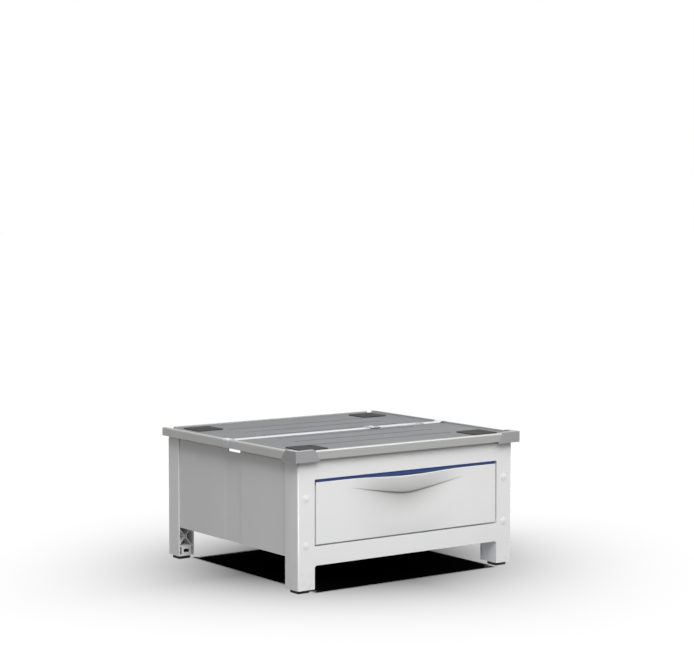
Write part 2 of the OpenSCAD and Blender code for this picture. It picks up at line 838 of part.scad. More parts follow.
module left_corner_cap() {
    color(cap_grey) mirror([1, 0, 0]) corner_cap();
}

module rear_corner_brackets() {
    sheet = 2;
    leg = 24;
    color(steel) on_both_sides() translate([0, 0, body_top + 1]) linear_extrude(deck_under - body_top - 2) {
        translate([rail_inner - sheet, rear_rail_y - rail_width - leg]) square([sheet, leg]);
        translate([rail_inner - leg, rear_rail_y - rail_width - sheet]) square([leg, sheet]);
    }
}

module deck_plate() {
    color(deck_grey) translate([0, 0, deck_under]) linear_extrude(deck_thickness)
        rounded_rect([-deck_half, deck_half], [deck_front, deck_rear], 2);
}

// Hat sections between the side rails. The strap passes below the middle of the tray.
module deck_ribs() {
    depth = deck_rear - deck_front;
    pitch = (depth - 2 * deck_rib_margin) / (deck_rib_count - 1);
    height = deck_under - body_top;
    color(steel) for (i = [0 : deck_rib_count - 1])
        translate([0, deck_front + deck_rib_margin + i * pitch, body_top])
        along_x(-rail_inner, rail_inner) difference() {
            translate([-deck_rib_width / 2, 0]) square([deck_rib_width, height]);
            translate([deck_rib_sheet - deck_rib_width / 2, -eps])
                square([deck_rib_width - 2 * deck_rib_sheet, height - deck_rib_sheet + eps]);
        }
}

module anti_slip_pads() {
    color(black) for (sx = [-1, 1], sy = [-1, 1])
        translate([sx * (tray_width / 2 - pad_margin_x), sy * (tray_depth / 2 - pad_margin_y), deck_top])
            linear_extrude(pad_thickness) rounded_rect([-pad_size / 2, pad_size / 2], [-pad_size / 2, pad_size / 2], 8);
}

// ---------- Feet ----------

// A rubber foot with a plug that pushes into the leg. catch is the side that the catch points to.
module foot(x, y, catch) {
    color(black) translate([x, y, 0]) {
        linear_extrude(foot_show) rounded_rect([-foot_width / 2, foot_width / 2], [-foot_depth / 2, foot_depth / 2], 5);
        translate([0, 0, foot_show - eps]) cylinder(h = plug_height, r = plug_r);
        translate([-5, catch > 0 ? plug_r - 3 : -plug_r - 3, foot_show + 8.5])
            cube([10, 6, 6]);
    }
}

module front_right_foot() {
    foot(post_middle, front_foot_y, 1);
}

module front_left_foot() {
    foot(-post_middle, front_foot_y, 1);
}

module rear_right_foot() {
    foot(rear_leg_middle, rear_foot_y, -1);
}

module rear_left_foot() {
    foot(-rear_leg_middle, rear_foot_y, -1);
}

// ---------- Slides ----------

// Profile of the right cabinet slide, as (X, Z): a channel that opens towards the drawer.
module cabinet_slide_profile() {
    translate([slide_web, channel_bottom]) square([slide_sheet, channel_top - channel_bottom]);
    translate([slide_web - 9, channel_bottom]) square([9 + eps, slide_sheet]);
    translate([slide_web - 7, channel_top - slide_sheet]) square([7 + eps, slide_sheet]);
}

module slide_screw_places() {
    for (side = [0, 1]) mirror([side, 0, 0]) for (y = [slide_screw_front_y, slide_screw_rear_y])
        translate([slide_web, y, channel_bottom + 6]) rotate([0, 90, 0]) children();
}

module cabinet_slide() {
    ear_rear = front_roller_y + roller_r + 3;
    difference() {
        union() {
            along_y(slide_front, slide_rear) cabinet_slide_profile();
            block([slide_web, inner_x], [slide_front, ear_rear], [channel_bottom, ride_z + 3]);
            // rear stop
            block([slide_web - 7, slide_web + eps], [slide_rear - slide_sheet, slide_rear],
                [channel_bottom, channel_top]);
            // front stop, where the drawer's roller ends its travel
            block([slide_web - 7, slide_web + eps], [stop_y - slide_sheet, stop_y],
                [channel_floor - eps, channel_floor + 5]);
        }
        // the front roller stands where the top flange is cut away
        block([slide_web - 8, slide_web], [slide_front - 1, ear_rear], [channel_floor, channel_top + 1]);
        translate([slide_web, front_roller_y, front_roller_z]) rotate([0, 90, 0])
            translate([0, 0, -1]) cylinder(h = 4, r = pin_r);
        slide_screw_places() screw_hole(slide_sheet);
    }
}

module right_cabinet_slide() {
    color(white) cabinet_slide();
}

module left_cabinet_slide() {
    color(white) mirror([1, 0, 0]) cabinet_slide();
}

module cabinet_slide_screws() {
    color(steel) slide_screw_places() screw(leg_wall + slide_sheet + 2);
}

// A roller pin along X, with a head at its free end.
module roller_pin(from_x, to_x, head_x) {
    translate([from_x, 0, 0]) rotate([0, 90, 0]) cylinder(h = to_x - from_x, r = pin_r);
    translate([head_x, 0, 0]) rotate([0, 90, 0]) cylinder(h = 0.9, r = pin_r + 1);
}

module roller_places_on_cabinet() {
    for (side = [0, 1]) mirror([side, 0, 0]) translate([0, front_roller_y, front_roller_z]) children();
}

module cabinet_roller_pins() {
    face = cabinet_roller_x - roller_width / 2;
    color(steel) roller_places_on_cabinet() {
        roller_pin(face - 1.1, inner_x, face - 1.1);
        translate([cabinet_roller_x + roller_width / 2 + roller_hub_gap, 0, 0]) rotate([0, 90, 0])
            cylinder(h = roller_side_gap - roller_hub_gap, r = pin_r + 1.5);
    }
}

// A plain nylon roller with a shallow recess on each face.
module roller() {
    rotate([0, 90, 0]) rotate_extrude($fn = 72) difference() {
        translate([pin_r + pin_clearance, -roller_width / 2]) square([roller_r - pin_r - pin_clearance, roller_width]);
        for (side = [-1, 1]) translate([pin_r + 2.5, side > 0 ? roller_width / 2 - 1 : -roller_width / 2 - 1])
            square([roller_r - pin_r - 4.5, 2]);
    }
}

module right_cabinet_roller() {
    color(nylon) translate([cabinet_roller_x, front_roller_y, front_roller_z]) roller();
}

module left_cabinet_roller() {
    color(nylon) translate([-cabinet_roller_x, front_roller_y, front_roller_z]) roller();
}

// Profile of the right drawer slide, as (X, Z). Its top flange rides on the cabinet roller.
module drawer_slide_profile() {
    translate([drawer_web, tub_floor - slide_sheet]) square([slide_sheet, ride_z + 2 * slide_sheet - tub_floor]);
    translate([drawer_web, ride_z]) square([cabinet_roller_x + roller_width / 2 - drawer_web, slide_sheet]);
    translate([drawer_web - 12, tub_floor - slide_sheet]) square([12 + slide_sheet, slide_sheet]);
}

module drawer_slide() {
    difference() {
        along_y(slide_front + 2, rear_roller_y + roller_r + 6) drawer_slide_profile();
        translate([drawer_web - 1, rear_roller_y, rear_roller_z]) rotate([0, 90, 0]) cylinder(h = 4, r = pin_r);
        drawer_slide_screw_places() translate([0, 0, -3]) screw_hole(8);
    }
}

module right_drawer_slide() {
    color(white) drawer_slide();
}

module left_drawer_slide() {
    color(white) mirror([1, 0, 0]) drawer_slide();
}

module drawer_slide_screw_places() {
    for (side = [0, 1]) mirror([side, 0, 0]) for (y = [slide_front + 60, (slide_front + rear_roller_y) / 2,
        rear_roller_y - 40])
        translate([tub_half - tub_wall, y, channel_top - 3]) rotate([0, 90, 0]) children();
}

module drawer_slide_screws() {
    color(steel) drawer_slide_screw_places() screw(tub_wall + slide_sheet);
}

module drawer_roller_pins() {
    face = drawer_roller_x + roller_width / 2;
    color(steel) for (side = [0, 1]) mirror([side, 0, 0]) translate([0, rear_roller_y, rear_roller_z]) {
        roller_pin(drawer_web, face + 0.2, face + 0.2);
        translate([drawer_web_outer, 0, 0]) rotate([0, 90, 0])
            cylinder(h = roller_side_gap - roller_hub_gap, r = pin_r + 1.5);
    }
}

module right_drawer_roller() {
    color(nylon) translate([drawer_roller_x, rear_roller_y, rear_roller_z]) roller();
}

module left_drawer_roller() {
    color(nylon) translate([-drawer_roller_x, rear_roller_y, rear_roller_z]) roller();
}

// ---------- Drawer ----------

// The sculpted face of the drawer front.
// Its columns run across the width, and its rows follow the crease, so that the crease is a true edge.

function top_z(x) = abs(x) > dip_reach ? front_top : front_top - top_dip * (1 + cos(180 * x / dip_reach)) / 2;
function crease(x) = crease_z + crease_slope * (sqrt(x * x + crease_round * crease_round) - crease_round);
function grip_fade(x) = abs(x) >= grip_reach ? 0 : pow(cos(90 * x / grip_reach), 1.4);
function lip_at(x, t) = lip_depth * grip_fade(x) * pow(1 - t, 1.15);
function dish_at(x, drop) = drop >= dish_height ? 0
    : dish_depth * pow(grip_fade(x), 1 + drop / dish_height) * (1 + cos(180 * drop / dish_height)) / 2;

// One column of the face, from bottom to top, as [x, y, z] points.
function face_column(x, back) = concat(
    [for (r = [0 : lower_rows]) let (z = front_bottom + (crease(x) - front_bottom) * r / lower_rows)
        [x, body_front + dish_at(x, crease(x) - z) + back, z]],
    [for (r = [0 : upper_rows]) let (z = crease(x) + crease_step * (1 - r / upper_rows) + (top_z(x) - crease(x)) * r / upper_rows)
        [x, body_front + lip_at(x, r / upper_rows) + back, z]]);

module sculpted_face() {
    rows = lower_rows + upper_rows + 2;
    columns = len(face_xs);
    front_points = [for (x = face_xs) each face_column(x, 0)];
    back_points = [for (x = face_xs) each face_column(x, front_wall)];
    offset_back = rows * columns;
    quads = [for (c = [0 : columns - 2], r = [0 : rows - 2]) let (a = c * rows + r, b = a + rows)
        [a, a + 1, b + 1, b]];
    last = (columns - 1) * rows;
    polyhedron(
        points = concat(front_points, back_points),
        faces = concat(
            [for (q = quads) each [[q[0], q[1], q[2]], [q[0], q[2], q[3]]]],
            [for (q = quads) each [[for (k = [2, 1, 0]) q[k] + offset_back], [for (k = [3, 2, 0]) q[k] + offset_back]]],
            [for (c = [0 : columns - 2]) let (a = c * rows, b = a + rows)
                each [[a, b, b + offset_back], [a, b + offset_back, a + offset_back]]],
            [for (c = [0 : columns - 2]) let (a = c * rows + rows - 1, b = a + rows)
                each [[b, a, a + offset_back], [b, a + offset_back, b + offset_back]]],
            [for (r = [0 : rows - 2]) each [[r + 1, r, r + offset_back], [r + 1, r + offset_back, r + 1 + offset_back]]],
            [for (r = [0 : rows - 2]) let (a = last + r)
                each [[a, a + 1, a + 1 + offset_back], [a, a + 1 + offset_back, a + offset_back]]]));
}

module drawer_front_screw_places() {
    for (side = [-1, 1], z = front_screw_zs)
        translate([side * front_screw_x, tub_front + tub_wall, z]) rotate([90, 0, 0]) children();
}

module drawer_front() {
    rim_y = [body_front + front_wall - eps, liner_front];
    color(white) union() {
        sculpted_face();
        difference() {
            union() {
                // turned-in rim along the bottom and the two ends
                block([-front_half, front_half], rim_y, [front_bottom, front_bottom + front_wall]);
                on_both_sides() block([front_half - front_wall, front_half], rim_y, [front_bottom, front_top - 6]);
                for (side = [-1, 1], z = front_screw_zs) translate([side * front_screw_x, rim_y[0], z])
                    rotate([-90, 0, 0]) cylinder(h = rim_y[1] - rim_y[0], r = 4.5);
            }
            drawer_front_screw_places() screw_hole(liner + tub_wall + 8);
        }
    }
}

// The panel behind the drawer front. Its hooked top shows above the front's edge.
module drawer_liner() {
    hook = 2.5;
    hook_front = body_front + 4;
    hook_drop = liner_top - front_top + 3;
    color(blue) difference() {
        along_x(-front_half, front_half) union() {
            translate([liner_front, front_bottom + 1]) square([liner, liner_top - front_bottom - 1]);
            translate([hook_front, liner_top - hook]) square([liner_front - hook_front + eps, hook]);
            translate([hook_front, liner_top - hook_drop]) square([hook, hook_drop]);
        }
        drawer_front_screw_places() screw_hole(liner + tub_wall + 1);
        // below the tub the panel is cut back at both ends, clear of the slides
        on_both_sides() block([drawer_web - 13, front_half + 1], [liner_front - 1, tub_front + 1],
            [front_bottom, front_bottom + 0.5]);
    }
}

module tub_outline(inset) {
    rounded_rect([-tub_half + inset, tub_half - inset], [tub_front + inset, tub_rear - inset],
        max(1, tub_corner_r - inset));
}

module drawer_tub() {
    color(blue) difference() {
        union() {
            translate([0, 0, tub_floor]) linear_extrude(tub_height) tub_outline(0);
            // rolled rim
            translate([0, 0, tub_top - 3]) linear_extrude(3) difference() {
                rounded_rect([-tub_half - tub_rim, tub_half + tub_rim], [tub_front, tub_rear + tub_rim],
                    tub_corner_r);
                tub_outline(tub_wall);
            }
            translate([0, 0, tub_top - 9]) linear_extrude(9) difference() {
                rounded_rect([-tub_half - tub_rim, tub_half + tub_rim], [tub_front, tub_rear + tub_rim],
                    tub_corner_r);
                rounded_rect([-tub_half - tub_rim + 2, tub_half + tub_rim - 2], [tub_front - 1, tub_rear + tub_rim - 2],
                    tub_corner_r);
            }
        }
        translate([0, 0, tub_floor + tub_wall]) linear_extrude(tub_height) tub_outline(tub_wall);
        drawer_front_screw_places() screw_hole(tub_wall + 1);
        drawer_slide_screw_places() screw_hole(tub_wall + 1);
    }
    // low ribs across the floor
    color(blue) for (y = [tub_front + 60 : 70 : tub_rear - 40])
        block([tub_wall - tub_half + 20, tub_half - tub_wall - 20], [y, y + 2.5],
            [tub_floor + tub_wall - eps, tub_floor + tub_wall + 1.5]);
}

module drawer_front_screws() {
    color(steel) drawer_front_screw_places() screw(tub_wall + liner + 7);
}

// ---------- Strap ----------

// Outline that the strap is wound on, grown by the given amount: round the tray, down to the deck
// between the raised lips of the rails.
module strap_outline(grow) {
    half = rail_outer + grow;
    low = body_top - grow;
    high = rail_top + grow;
    r = rail_edge_r + grow;
    run = rail_outer - rail_lip - 2 - grow * 0.3;
    ramp = 10;
    difference() {
        union() {
            translate([-half, low]) square([2 * half, high - low - r]);
            translate([r - half, low]) square([2 * (half - r), high - low]);
            for (side = [-1, 1]) translate([side * (half - r), high - r]) circle(r);
        }
        polygon([[-run, high + 1], [-run, high], [ramp - run, deck_top + grow], [run - ramp, deck_top + grow],
            [run, high], [run, high + 1]]);
    }
}

// The webbing goes under the tray, up round both rails and across the deck. Its free end goes under
// the slider, over the slider's middle bar and back along the deck.
module strap_webbing() {
    around = slider_bar / 2 + 0.05;
    color(strap_grey) along_y(strap_y - strap_width / 2, strap_y + strap_width / 2) {
        difference() {
            strap_outline(strap_thickness);
            strap_outline(0);
        }
        translate([slider_x - slider_reach, slider_z - strap_thickness - eps])
            square([tail_end - slider_x + slider_reach, strap_thickness + eps]);
        difference() {
            translate([slider_x - around - strap_thickness, slider_z - eps])
                square([2 * (around + strap_thickness), slider_sheet + 0.05 + strap_thickness + eps]);
            translate([slider_x - around, slider_z]) square([2 * around, slider_sheet + 0.05]);
        }
    }
}

// A flat slide adjuster: three bars over the strap, joined at their ends.
module strap_slider() {
    half = strap_width / 2 + 0.5;
    pitch = slider_bar + slider_slot;
    color(steel) translate([slider_x, strap_y, slider_z]) linear_extrude(slider_sheet) difference() {
        rounded_rect([-slider_reach, slider_reach], [-half - slider_bar, half + slider_bar], 3);
        for (side = [-1, 1]) translate([side * pitch / 2 - slider_slot / 2, -half]) square([slider_slot, 2 * half]);
    }
}

// A folded metal tip over the free end.
module strap_end_tip() {
    sheet = 0.6;
    length = 10;
    color(steel) along_y(strap_y - strap_width / 2, strap_y + strap_width / 2) {
        translate([tail_end - length, slider_z]) square([length + sheet, sheet]);
        translate([tail_end, slider_z - strap_thickness]) square([sheet, strap_thickness + sheet]);
    }
}

front_frame();
rear_left_leg();
rear_right_leg();
left_front_panel();
right_front_panel();
left_rear_panel();
right_rear_panel();
rear_upper_crossbar();
rear_lower_crossbar();
front_rail();
rear_rail();
left_rail();
right_rail();
left_corner_cap();
right_corner_cap();
rear_corner_brackets();
deck_plate();
deck_ribs();
anti_slip_pads();
front_left_foot();
front_right_foot();
rear_left_foot();
rear_right_foot();
frame_screws();
screw_covers();
panel_screws();
crossbar_screws();
tray_screws();
left_cabinet_slide();
right_cabinet_slide();
cabinet_slide_screws();
cabinet_roller_pins();
left_cabinet_roller();
right_cabinet_roller();
drawer_front();
drawer_liner();
drawer_tub();
left_drawer_slide();
right_drawer_slide();
drawer_slide_screws();
drawer_front_screws();
drawer_roller_pins();
left_drawer_roller();
right_drawer_roller();
strap_webbing();
strap_slider();
strap_end_tip();
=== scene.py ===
"""Dresses the pedestal and its drawer for their studio picture.

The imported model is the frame. Each sub-assembly below copies or replaces its nodes with finished
pieces, gives every surface its material, and hangs the pieces on the bodies that move them.
"""

from __future__ import annotations

import json
import logging
import math
import random
from dataclasses import dataclass, field
from enum import Enum
from typing import Callable, Iterable, Sequence

import bmesh
import bpy
from mathutils import Matrix, Vector

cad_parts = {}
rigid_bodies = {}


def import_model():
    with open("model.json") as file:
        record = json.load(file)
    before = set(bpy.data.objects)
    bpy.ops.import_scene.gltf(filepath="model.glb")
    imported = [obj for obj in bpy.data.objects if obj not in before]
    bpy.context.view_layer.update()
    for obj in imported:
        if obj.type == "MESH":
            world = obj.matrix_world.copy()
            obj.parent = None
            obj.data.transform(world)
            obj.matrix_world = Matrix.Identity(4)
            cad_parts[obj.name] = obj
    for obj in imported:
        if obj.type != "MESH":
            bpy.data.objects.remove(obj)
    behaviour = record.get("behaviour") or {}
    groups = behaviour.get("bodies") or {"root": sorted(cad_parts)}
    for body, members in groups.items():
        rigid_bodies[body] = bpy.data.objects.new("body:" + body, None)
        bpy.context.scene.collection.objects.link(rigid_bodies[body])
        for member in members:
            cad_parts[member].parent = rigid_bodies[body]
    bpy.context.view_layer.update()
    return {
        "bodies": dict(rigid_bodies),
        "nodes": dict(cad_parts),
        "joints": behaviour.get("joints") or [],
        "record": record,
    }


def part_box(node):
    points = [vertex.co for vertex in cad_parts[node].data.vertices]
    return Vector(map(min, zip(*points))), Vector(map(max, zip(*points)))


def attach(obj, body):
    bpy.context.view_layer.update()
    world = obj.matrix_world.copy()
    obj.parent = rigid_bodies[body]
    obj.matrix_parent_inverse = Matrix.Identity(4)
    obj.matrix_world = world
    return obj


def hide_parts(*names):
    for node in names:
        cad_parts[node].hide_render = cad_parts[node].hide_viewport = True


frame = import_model()

LOG = logging.getLogger("pedestal")
MM = 0.001
# Points nearer than this are one point.
MERGE = 0.002 * MM
# Edges shorter than this vanish.
SLIVER = 0.001 * MM
# Slack of a test of which edges lie on a face.
NEAR = 0.01 * MM
# How far a cutter reaches past what it cuts.
PAST = 1.0 * MM


class Slot(Enum):
    """The record's material slots."""

    WHITE_ABS = "white_abs"
    PANEL = "panel_plastic"
    RAIL = "rail_aluminium"
    CAP = "cap_plastic"
    ZINC = "zinc_steel"
    DECK = "deck_sheet"
    RUBBER = "black_rubber"
    SLIDE = "slide_enamel"
    NYLON = "nylon"
    BLUE = "blue_plastic"
    WEBBING = "webbing"


class Axis(Enum):
    """A direction of the frame."""

    X = 0
    Y = 1
    Z = 2


# ---------------------------------------------------------------- materials


def linear(hex_colour: str) -> tuple[float, float, float, float]:
    """Turns an sRGB hex colour to linear RGBA.

    Args:
        hex_colour: The colour as "#rrggbb".

    Returns:
        Red, green, blue and alpha, linear.
    """
    channels = [int(hex_colour[i : i + 2], 16) / 255 for i in (1, 3, 5)]
    red, green, blue = (
        c / 12.92 if c <= 0.04045 else ((c + 0.055) / 1.055) ** 2.4 for c in channels
    )
    return red, green, blue, 1.0


def add_node(
    tree: bpy.types.NodeTree,
    kind: str,
    inputs: dict[str | int, object] | None = None,
    **settings: object,
) -> bpy.types.Node:
    """Adds a shader node, and sets or links its inputs.

    Args:
        tree: The node tree.
        kind: The node's type, without its "ShaderNode" prefix.
        inputs: Values or output sockets, by the input's name or number.
        **settings: Properties of the node itself.

    Returns:
        The new node.
    """
    node = tree.nodes.new("ShaderNode" + kind)
    for name, value in settings.items():
        setattr(node, name, value)
    for key, value in (inputs or {}).items():
        if isinstance(value, bpy.types.NodeSocket):
            tree.links.new(value, node.inputs[key])
        else:
            node.inputs[key].default_value = value
    return node


def per_metre(spacing_mm: float) -> float:
    """Returns the noise scale whose features are spacing_mm across."""
    return 1.0 / (spacing_mm * MM)


def bands_per_metre(spacing_mm: float) -> float:
    """Returns the wave texture scale whose bands are spacing_mm apart."""
    return math.tau / 20.0 / (spacing_mm * MM)


@dataclass(frozen=True)
class Finish:
    """A surface finish of one real material.

    Attributes:
        name: The material's name.
        slot: The record's slot that it belongs to. Nothing in this script reads it.
        colour: Its colour, as sRGB hex.
        shade: The slightly different tone of its faint cloudy variation.
        roughness: Mean roughness.
        ior: Index of refraction of its surface.
    """

    name: str
    slot: Slot
    colour: str
    shade: str
    roughness: float
    ior: float = 1.5

    def build(self) -> bpy.types.Material:
        """Builds the material.

        Returns:
            The finished material.
        """
        material = bpy.data.materials.new(self.name)
        material.use_nodes = True
        tree = material.node_tree
        tree.nodes.clear()
        place = add_node(tree, "TexCoord").outputs["Object"]
        surface = add_node(tree, "BsdfPrincipled", {"IOR": self.ior})
        add_node(tree, "OutputMaterial", {"Surface": surface.outputs["BSDF"]})
        self.pattern(tree, place, surface)
        material.diffuse_color = linear(self.colour)
        return material

    def pattern(
        self, tree: bpy.types.NodeTree, place: bpy.types.NodeSocket, surface: bpy.types.Node
    ) -> None:
        """Adds the finish's own texture. Each kind of finish has its own.

        Args:
            tree: The material's node tree.
            place: Object coordinates.
            surface: The Principled shader.
        """
        raise NotImplementedError

    def clouds(
        self,
        tree: bpy.types.NodeTree,
        place: bpy.types.NodeSocket,
        surface: bpy.types.Node,
        patch_mm: float,
        spread: float,
    ) -> bpy.types.NodeSocket:
        """Varies the colour and the roughness a little, in soft patches.

        Args:
            tree: The material's node tree.
            place: Coordinates of the pattern.
            surface: The Principled shader.
            patch_mm: Size of a patch.
            spread: How far the roughness strays from its mean.

        Returns:
            The colour's socket, to be used by further layers.
        """
        patches = add_node(
            tree, "TexNoise", {"Vector": place, "Scale": per_metre(patch_mm), "Detail": 4.0}
        ).outputs["Fac"]
        tone = add_node(
            tree,
            "Mix",
            {0: patches, 6: linear(self.colour), 7: linear(self.shade)},
            data_type="RGBA",
        ).outputs[2]
        gloss = add_node(
            tree,
            "MapRange",
            {
                "Value": patches,
                "From Min": 0.3,
                "From Max": 0.7,
                "To Min": self.roughness - spread,
                "To Max": self.roughness + spread,
            },
        ).outputs["Result"]
        tree.links.new(tone, surface.inputs["Base Color"])
        tree.links.new(gloss, surface.inputs["Roughness"])
        return tone


@dataclass(frozen=True)
class MouldedPlastic(Finish):
    """Injection-moulded ABS or polypropylene with a fine spark-eroded grain.

    Real grain is 0.3 to 0.8 mm across, which the picture can't show, so it is drawn about 2 mm
    across and very shallow: the eye gets a soft satin instead of a mirror.

    Attributes:
        grain_mm: Size of the grain as drawn.
        grain_depth_mm: Depth of the grain.
        patch_mm: Size of the soft cloudy patches.
        spread: How far their roughness strays from the mean.
        scuff: Colour of the scuffs; None leaves them out.
        scuff_height_mm: Height above the floor where the scuffs end.
        scuff_patch_mm: Size of a scuff.
        scuff_most: Most of the scuffs' colour that shows.
        coat: Weight of a clear gloss on top.
        coat_roughness: Roughness of that gloss.
        glow: How much of the light sinks in.
        glow_depth_mm: How deep it sinks.
    """

    grain_mm: float = 1.8
    grain_depth_mm: float = 0.03
    patch_mm: float = 90.0
    spread: float = 0.04
    scuff: str | None = None
    scuff_height_mm: float = 70.0
    scuff_patch_mm: float = 14.0
    scuff_most: float = 0.16
    coat: float = 0.0
    coat_roughness: float = 0.25
    glow: float = 0.0
    glow_depth_mm: float = 1.2

    def pattern(
        self, tree: bpy.types.NodeTree, place: bpy.types.NodeSocket, surface: bpy.types.Node
    ) -> None:
        """Adds grain, clouds, and scuffs low down where shoes and mops rub.

        Args:
            tree: The material's node tree.
            place: Object coordinates.
            surface: The Principled shader.
        """
        tone = self.clouds(tree, place, surface, self.patch_mm, self.spread)
        grain = add_node(
            tree,
            "TexNoise",
            {"Vector": place, "Scale": per_metre(self.grain_mm), "Detail": 2.0, "Roughness": 0.6},
        ).outputs["Fac"]
        bump = add_node(
            tree,
            "Bump",
            {"Height": grain, "Distance": self.grain_depth_mm * MM, "Strength": 0.6},
        ).outputs["Normal"]
        tree.links.new(bump, surface.inputs["Normal"])
        surface.inputs["Coat Weight"].default_value = self.coat
        surface.inputs["Coat Roughness"].default_value = self.coat_roughness
        surface.inputs["Subsurface Weight"].default_value = self.glow
        surface.inputs["Subsurface Scale"].default_value = self.glow_depth_mm * MM
        if self.scuff is None:
            return
        height = add_node(tree, "SeparateXYZ", {"Vector": place}).outputs["Z"]
        low = add_node(
            tree,
            "MapRange",
            {
                "Value": height,
                "From Min": 0.0,
                "From Max": self.scuff_height_mm * MM,
                "To Min": 1.0,
                "To Max": 0.0,
            },
        ).outputs["Result"]
        marks = add_node(
            tree,
            "TexNoise",
            {
                "Vector": place,
                "Scale": per_metre(self.scuff_patch_mm),
                "Detail": 6.0,
                "Roughness": 0.7,
            },
        ).outputs["Fac"]
        patchy = add_node(
            tree,
            "MapRange",
            {
                "Value": marks,
                "From Min": 0.48,
                "From Max": 0.68,
                "To Min": 0.0,
                "To Max": self.scuff_most,
            },
        ).outputs["Result"]
        amount = add_node(tree, "Math", {0: low, 1: patchy}, operation="MULTIPLY").outputs[0]
        worn = add_node(
            tree, "Mix", {0: amount, 6: tone, 7: linear(self.scuff)}, data_type="RGBA"
        ).outputs[2]
        tree.links.new(worn, surface.inputs["Base Color"])


@dataclass(frozen=True)
class PaintedShadePlastic(MouldedPlastic):
    """Moulded ABS with painted shade: a soft grey darkening round the grip's crease.

    The piece carries how much painted shade it gets as a vertex attribute, from 0 to 1.

    Attributes:
        bloom: Colour of the painted shade.
    """

    # Colour of the painted shade round the grip's crease.
    bloom: str = "#6f6e6b"

    def pattern(
        self, tree: bpy.types.NodeTree, place: bpy.types.NodeSocket, surface: bpy.types.Node
    ) -> None:
        """Adds the painted shade over the moulded plastic's own pattern.

        Args:
            tree: The material's node tree.
            place: Object coordinates.
            surface: The Principled shader.
        """
        super().pattern(tree, place, surface)
        clean = surface.inputs["Base Color"].links[0].from_socket
        # The vertex attribute tells how much painted shade darkens the white.
        painted_shade = add_node(tree, "Attribute", attribute_name="painted_shade").outputs["Fac"]
        with_painted_shade = add_node(
            tree, "Mix", {0: painted_shade, 6: clean, 7: linear(self.bloom)}, data_type="RGBA"
        ).outputs[2]
        tree.links.new(with_painted_shade, surface.inputs["Base Color"])


@dataclass(frozen=True)
class ExtrudedAluminium(Finish):
    """Extruded and satin-anodised aluminium: die lines run the whole length of the bar.

    Die lines are 0.1 to 0.3 mm apart, and are drawn 1.2 mm apart so that they just show.

    Attributes:
        along: Direction of the bar.
        line_mm: Distance between the lines as drawn.
        line_length_mm: Length over which a line changes.
        line_depth_mm: Depth of the lines.
        patch_mm: Size of the soft cloudy patches.
        spread: How far their roughness strays from the mean.
        metallic: How metallic the surface looks, from 0 to 1.
    """

    along: Axis = Axis.X
    line_mm: float = 1.2
    line_length_mm: float = 260.0
    line_depth_mm: float = 0.02
    patch_mm: float = 60.0
    spread: float = 0.03
    metallic: float = 0.5

    def pattern(
        self, tree: bpy.types.NodeTree, place: bpy.types.NodeSocket, surface: bpy.types.Node
    ) -> None:
        """Adds die lines stretched along the bar.

        Args:
            tree: The material's node tree.
            place: Object coordinates.
            surface: The Principled shader.
        """
        scales = [per_metre(self.line_mm)] * 3
        scales[self.along.value] = per_metre(self.line_length_mm)
        stretched = add_node(tree, "Mapping", {"Vector": place, "Scale": scales}).outputs["Vector"]
        self.clouds(tree, place, surface, self.patch_mm, self.spread)
        lines = add_node(
            tree, "TexNoise", {"Vector": stretched, "Scale": 1.0, "Detail": 3.0, "Roughness": 0.55}
        ).outputs["Fac"]
        bump = add_node(
            tree,
            "Bump",
            {"Height": lines, "Distance": self.line_depth_mm * MM, "Strength": 0.5},
        ).outputs["Normal"]
        tree.links.new(bump, surface.inputs["Normal"])
        surface.inputs["Metallic"].default_value = self.metallic


@dataclass(frozen=True)
class PowderCoat(Finish):
    """Baked powder paint on sheet steel: a fine orange peel about 1.5 mm across.

    Attributes:
        peel_mm: Size of the orange peel.
        peel_depth_mm: Depth of the orange peel.
        patch_mm: Size of the soft cloudy patches.
        spread: How far their roughness strays from the mean.
    """

    peel_mm: float = 1.6
    peel_depth_mm: float = 0.04
    patch_mm: float = 120.0
    spread: float = 0.05

    def pattern(
        self, tree: bpy.types.NodeTree, place: bpy.types.NodeSocket, surface: bpy.types.Node
    ) -> None:
        """Adds orange peel and soft clouds.

        Args:
            tree: The material's node tree.
            place: Object coordinates.
            surface: The Principled shader.
        """
        self.clouds(tree, place, surface, self.patch_mm, self.spread)
        peel = add_node(
            tree,
            "TexVoronoi",
            {"Vector": place, "Scale": per_metre(self.peel_mm)},
            feature="SMOOTH_F1",
        ).outputs["Distance"]
        bump = add_node(
            tree,
            "Bump",
            {"Height": peel, "Distance": self.peel_depth_mm * MM, "Strength": 0.5},
            invert=True,
        ).outputs["Normal"]
        tree.links.new(bump, surface.inputs["Normal"])


@dataclass(frozen=True)
class ZincPlate(Finish):
    """Bright zinc plate on pressed steel: a cold grey metal with faint crystals 5 mm across.

    Attributes:
        crystal_mm: Size of a crystal.
        bright: How much smoother than the mean the smoothest crystal is.
        dull: How much rougher than the mean the roughest one is.
    """

    crystal_mm: float = 5.0
    bright: float = 0.06
    dull: float = 0.08

    def pattern(
        self, tree: bpy.types.NodeTree, place: bpy.types.NodeSocket, surface: bpy.types.Node
    ) -> None:
        """Adds the zinc's crystals.

        Args:
            tree: The material's node tree.
            place: Object coordinates.
            surface: The Principled shader.
        """
        crystals = add_node(
            tree, "TexVoronoi", {"Vector": place, "Scale": per_metre(self.crystal_mm)}
        ).outputs["Color"]
        one = add_node(tree, "SeparateColor", {"Color": crystals}).outputs[0]
        tone = add_node(
            tree, "Mix", {0: one, 6: linear(self.colour), 7: linear(self.shade)}, data_type="RGBA"
        ).outputs[2]
        gloss = add_node(
            tree,
            "MapRange",
            {
                "Value": one,
                "To Min": self.roughness - self.bright,
                "To Max": self.roughness + self.dull,
            },
        ).outputs["Result"]
        tree.links.new(tone, surface.inputs["Base Color"])
        tree.links.new(gloss, surface.inputs["Roughness"])
        surface.inputs["Metallic"].default_value = 1.0


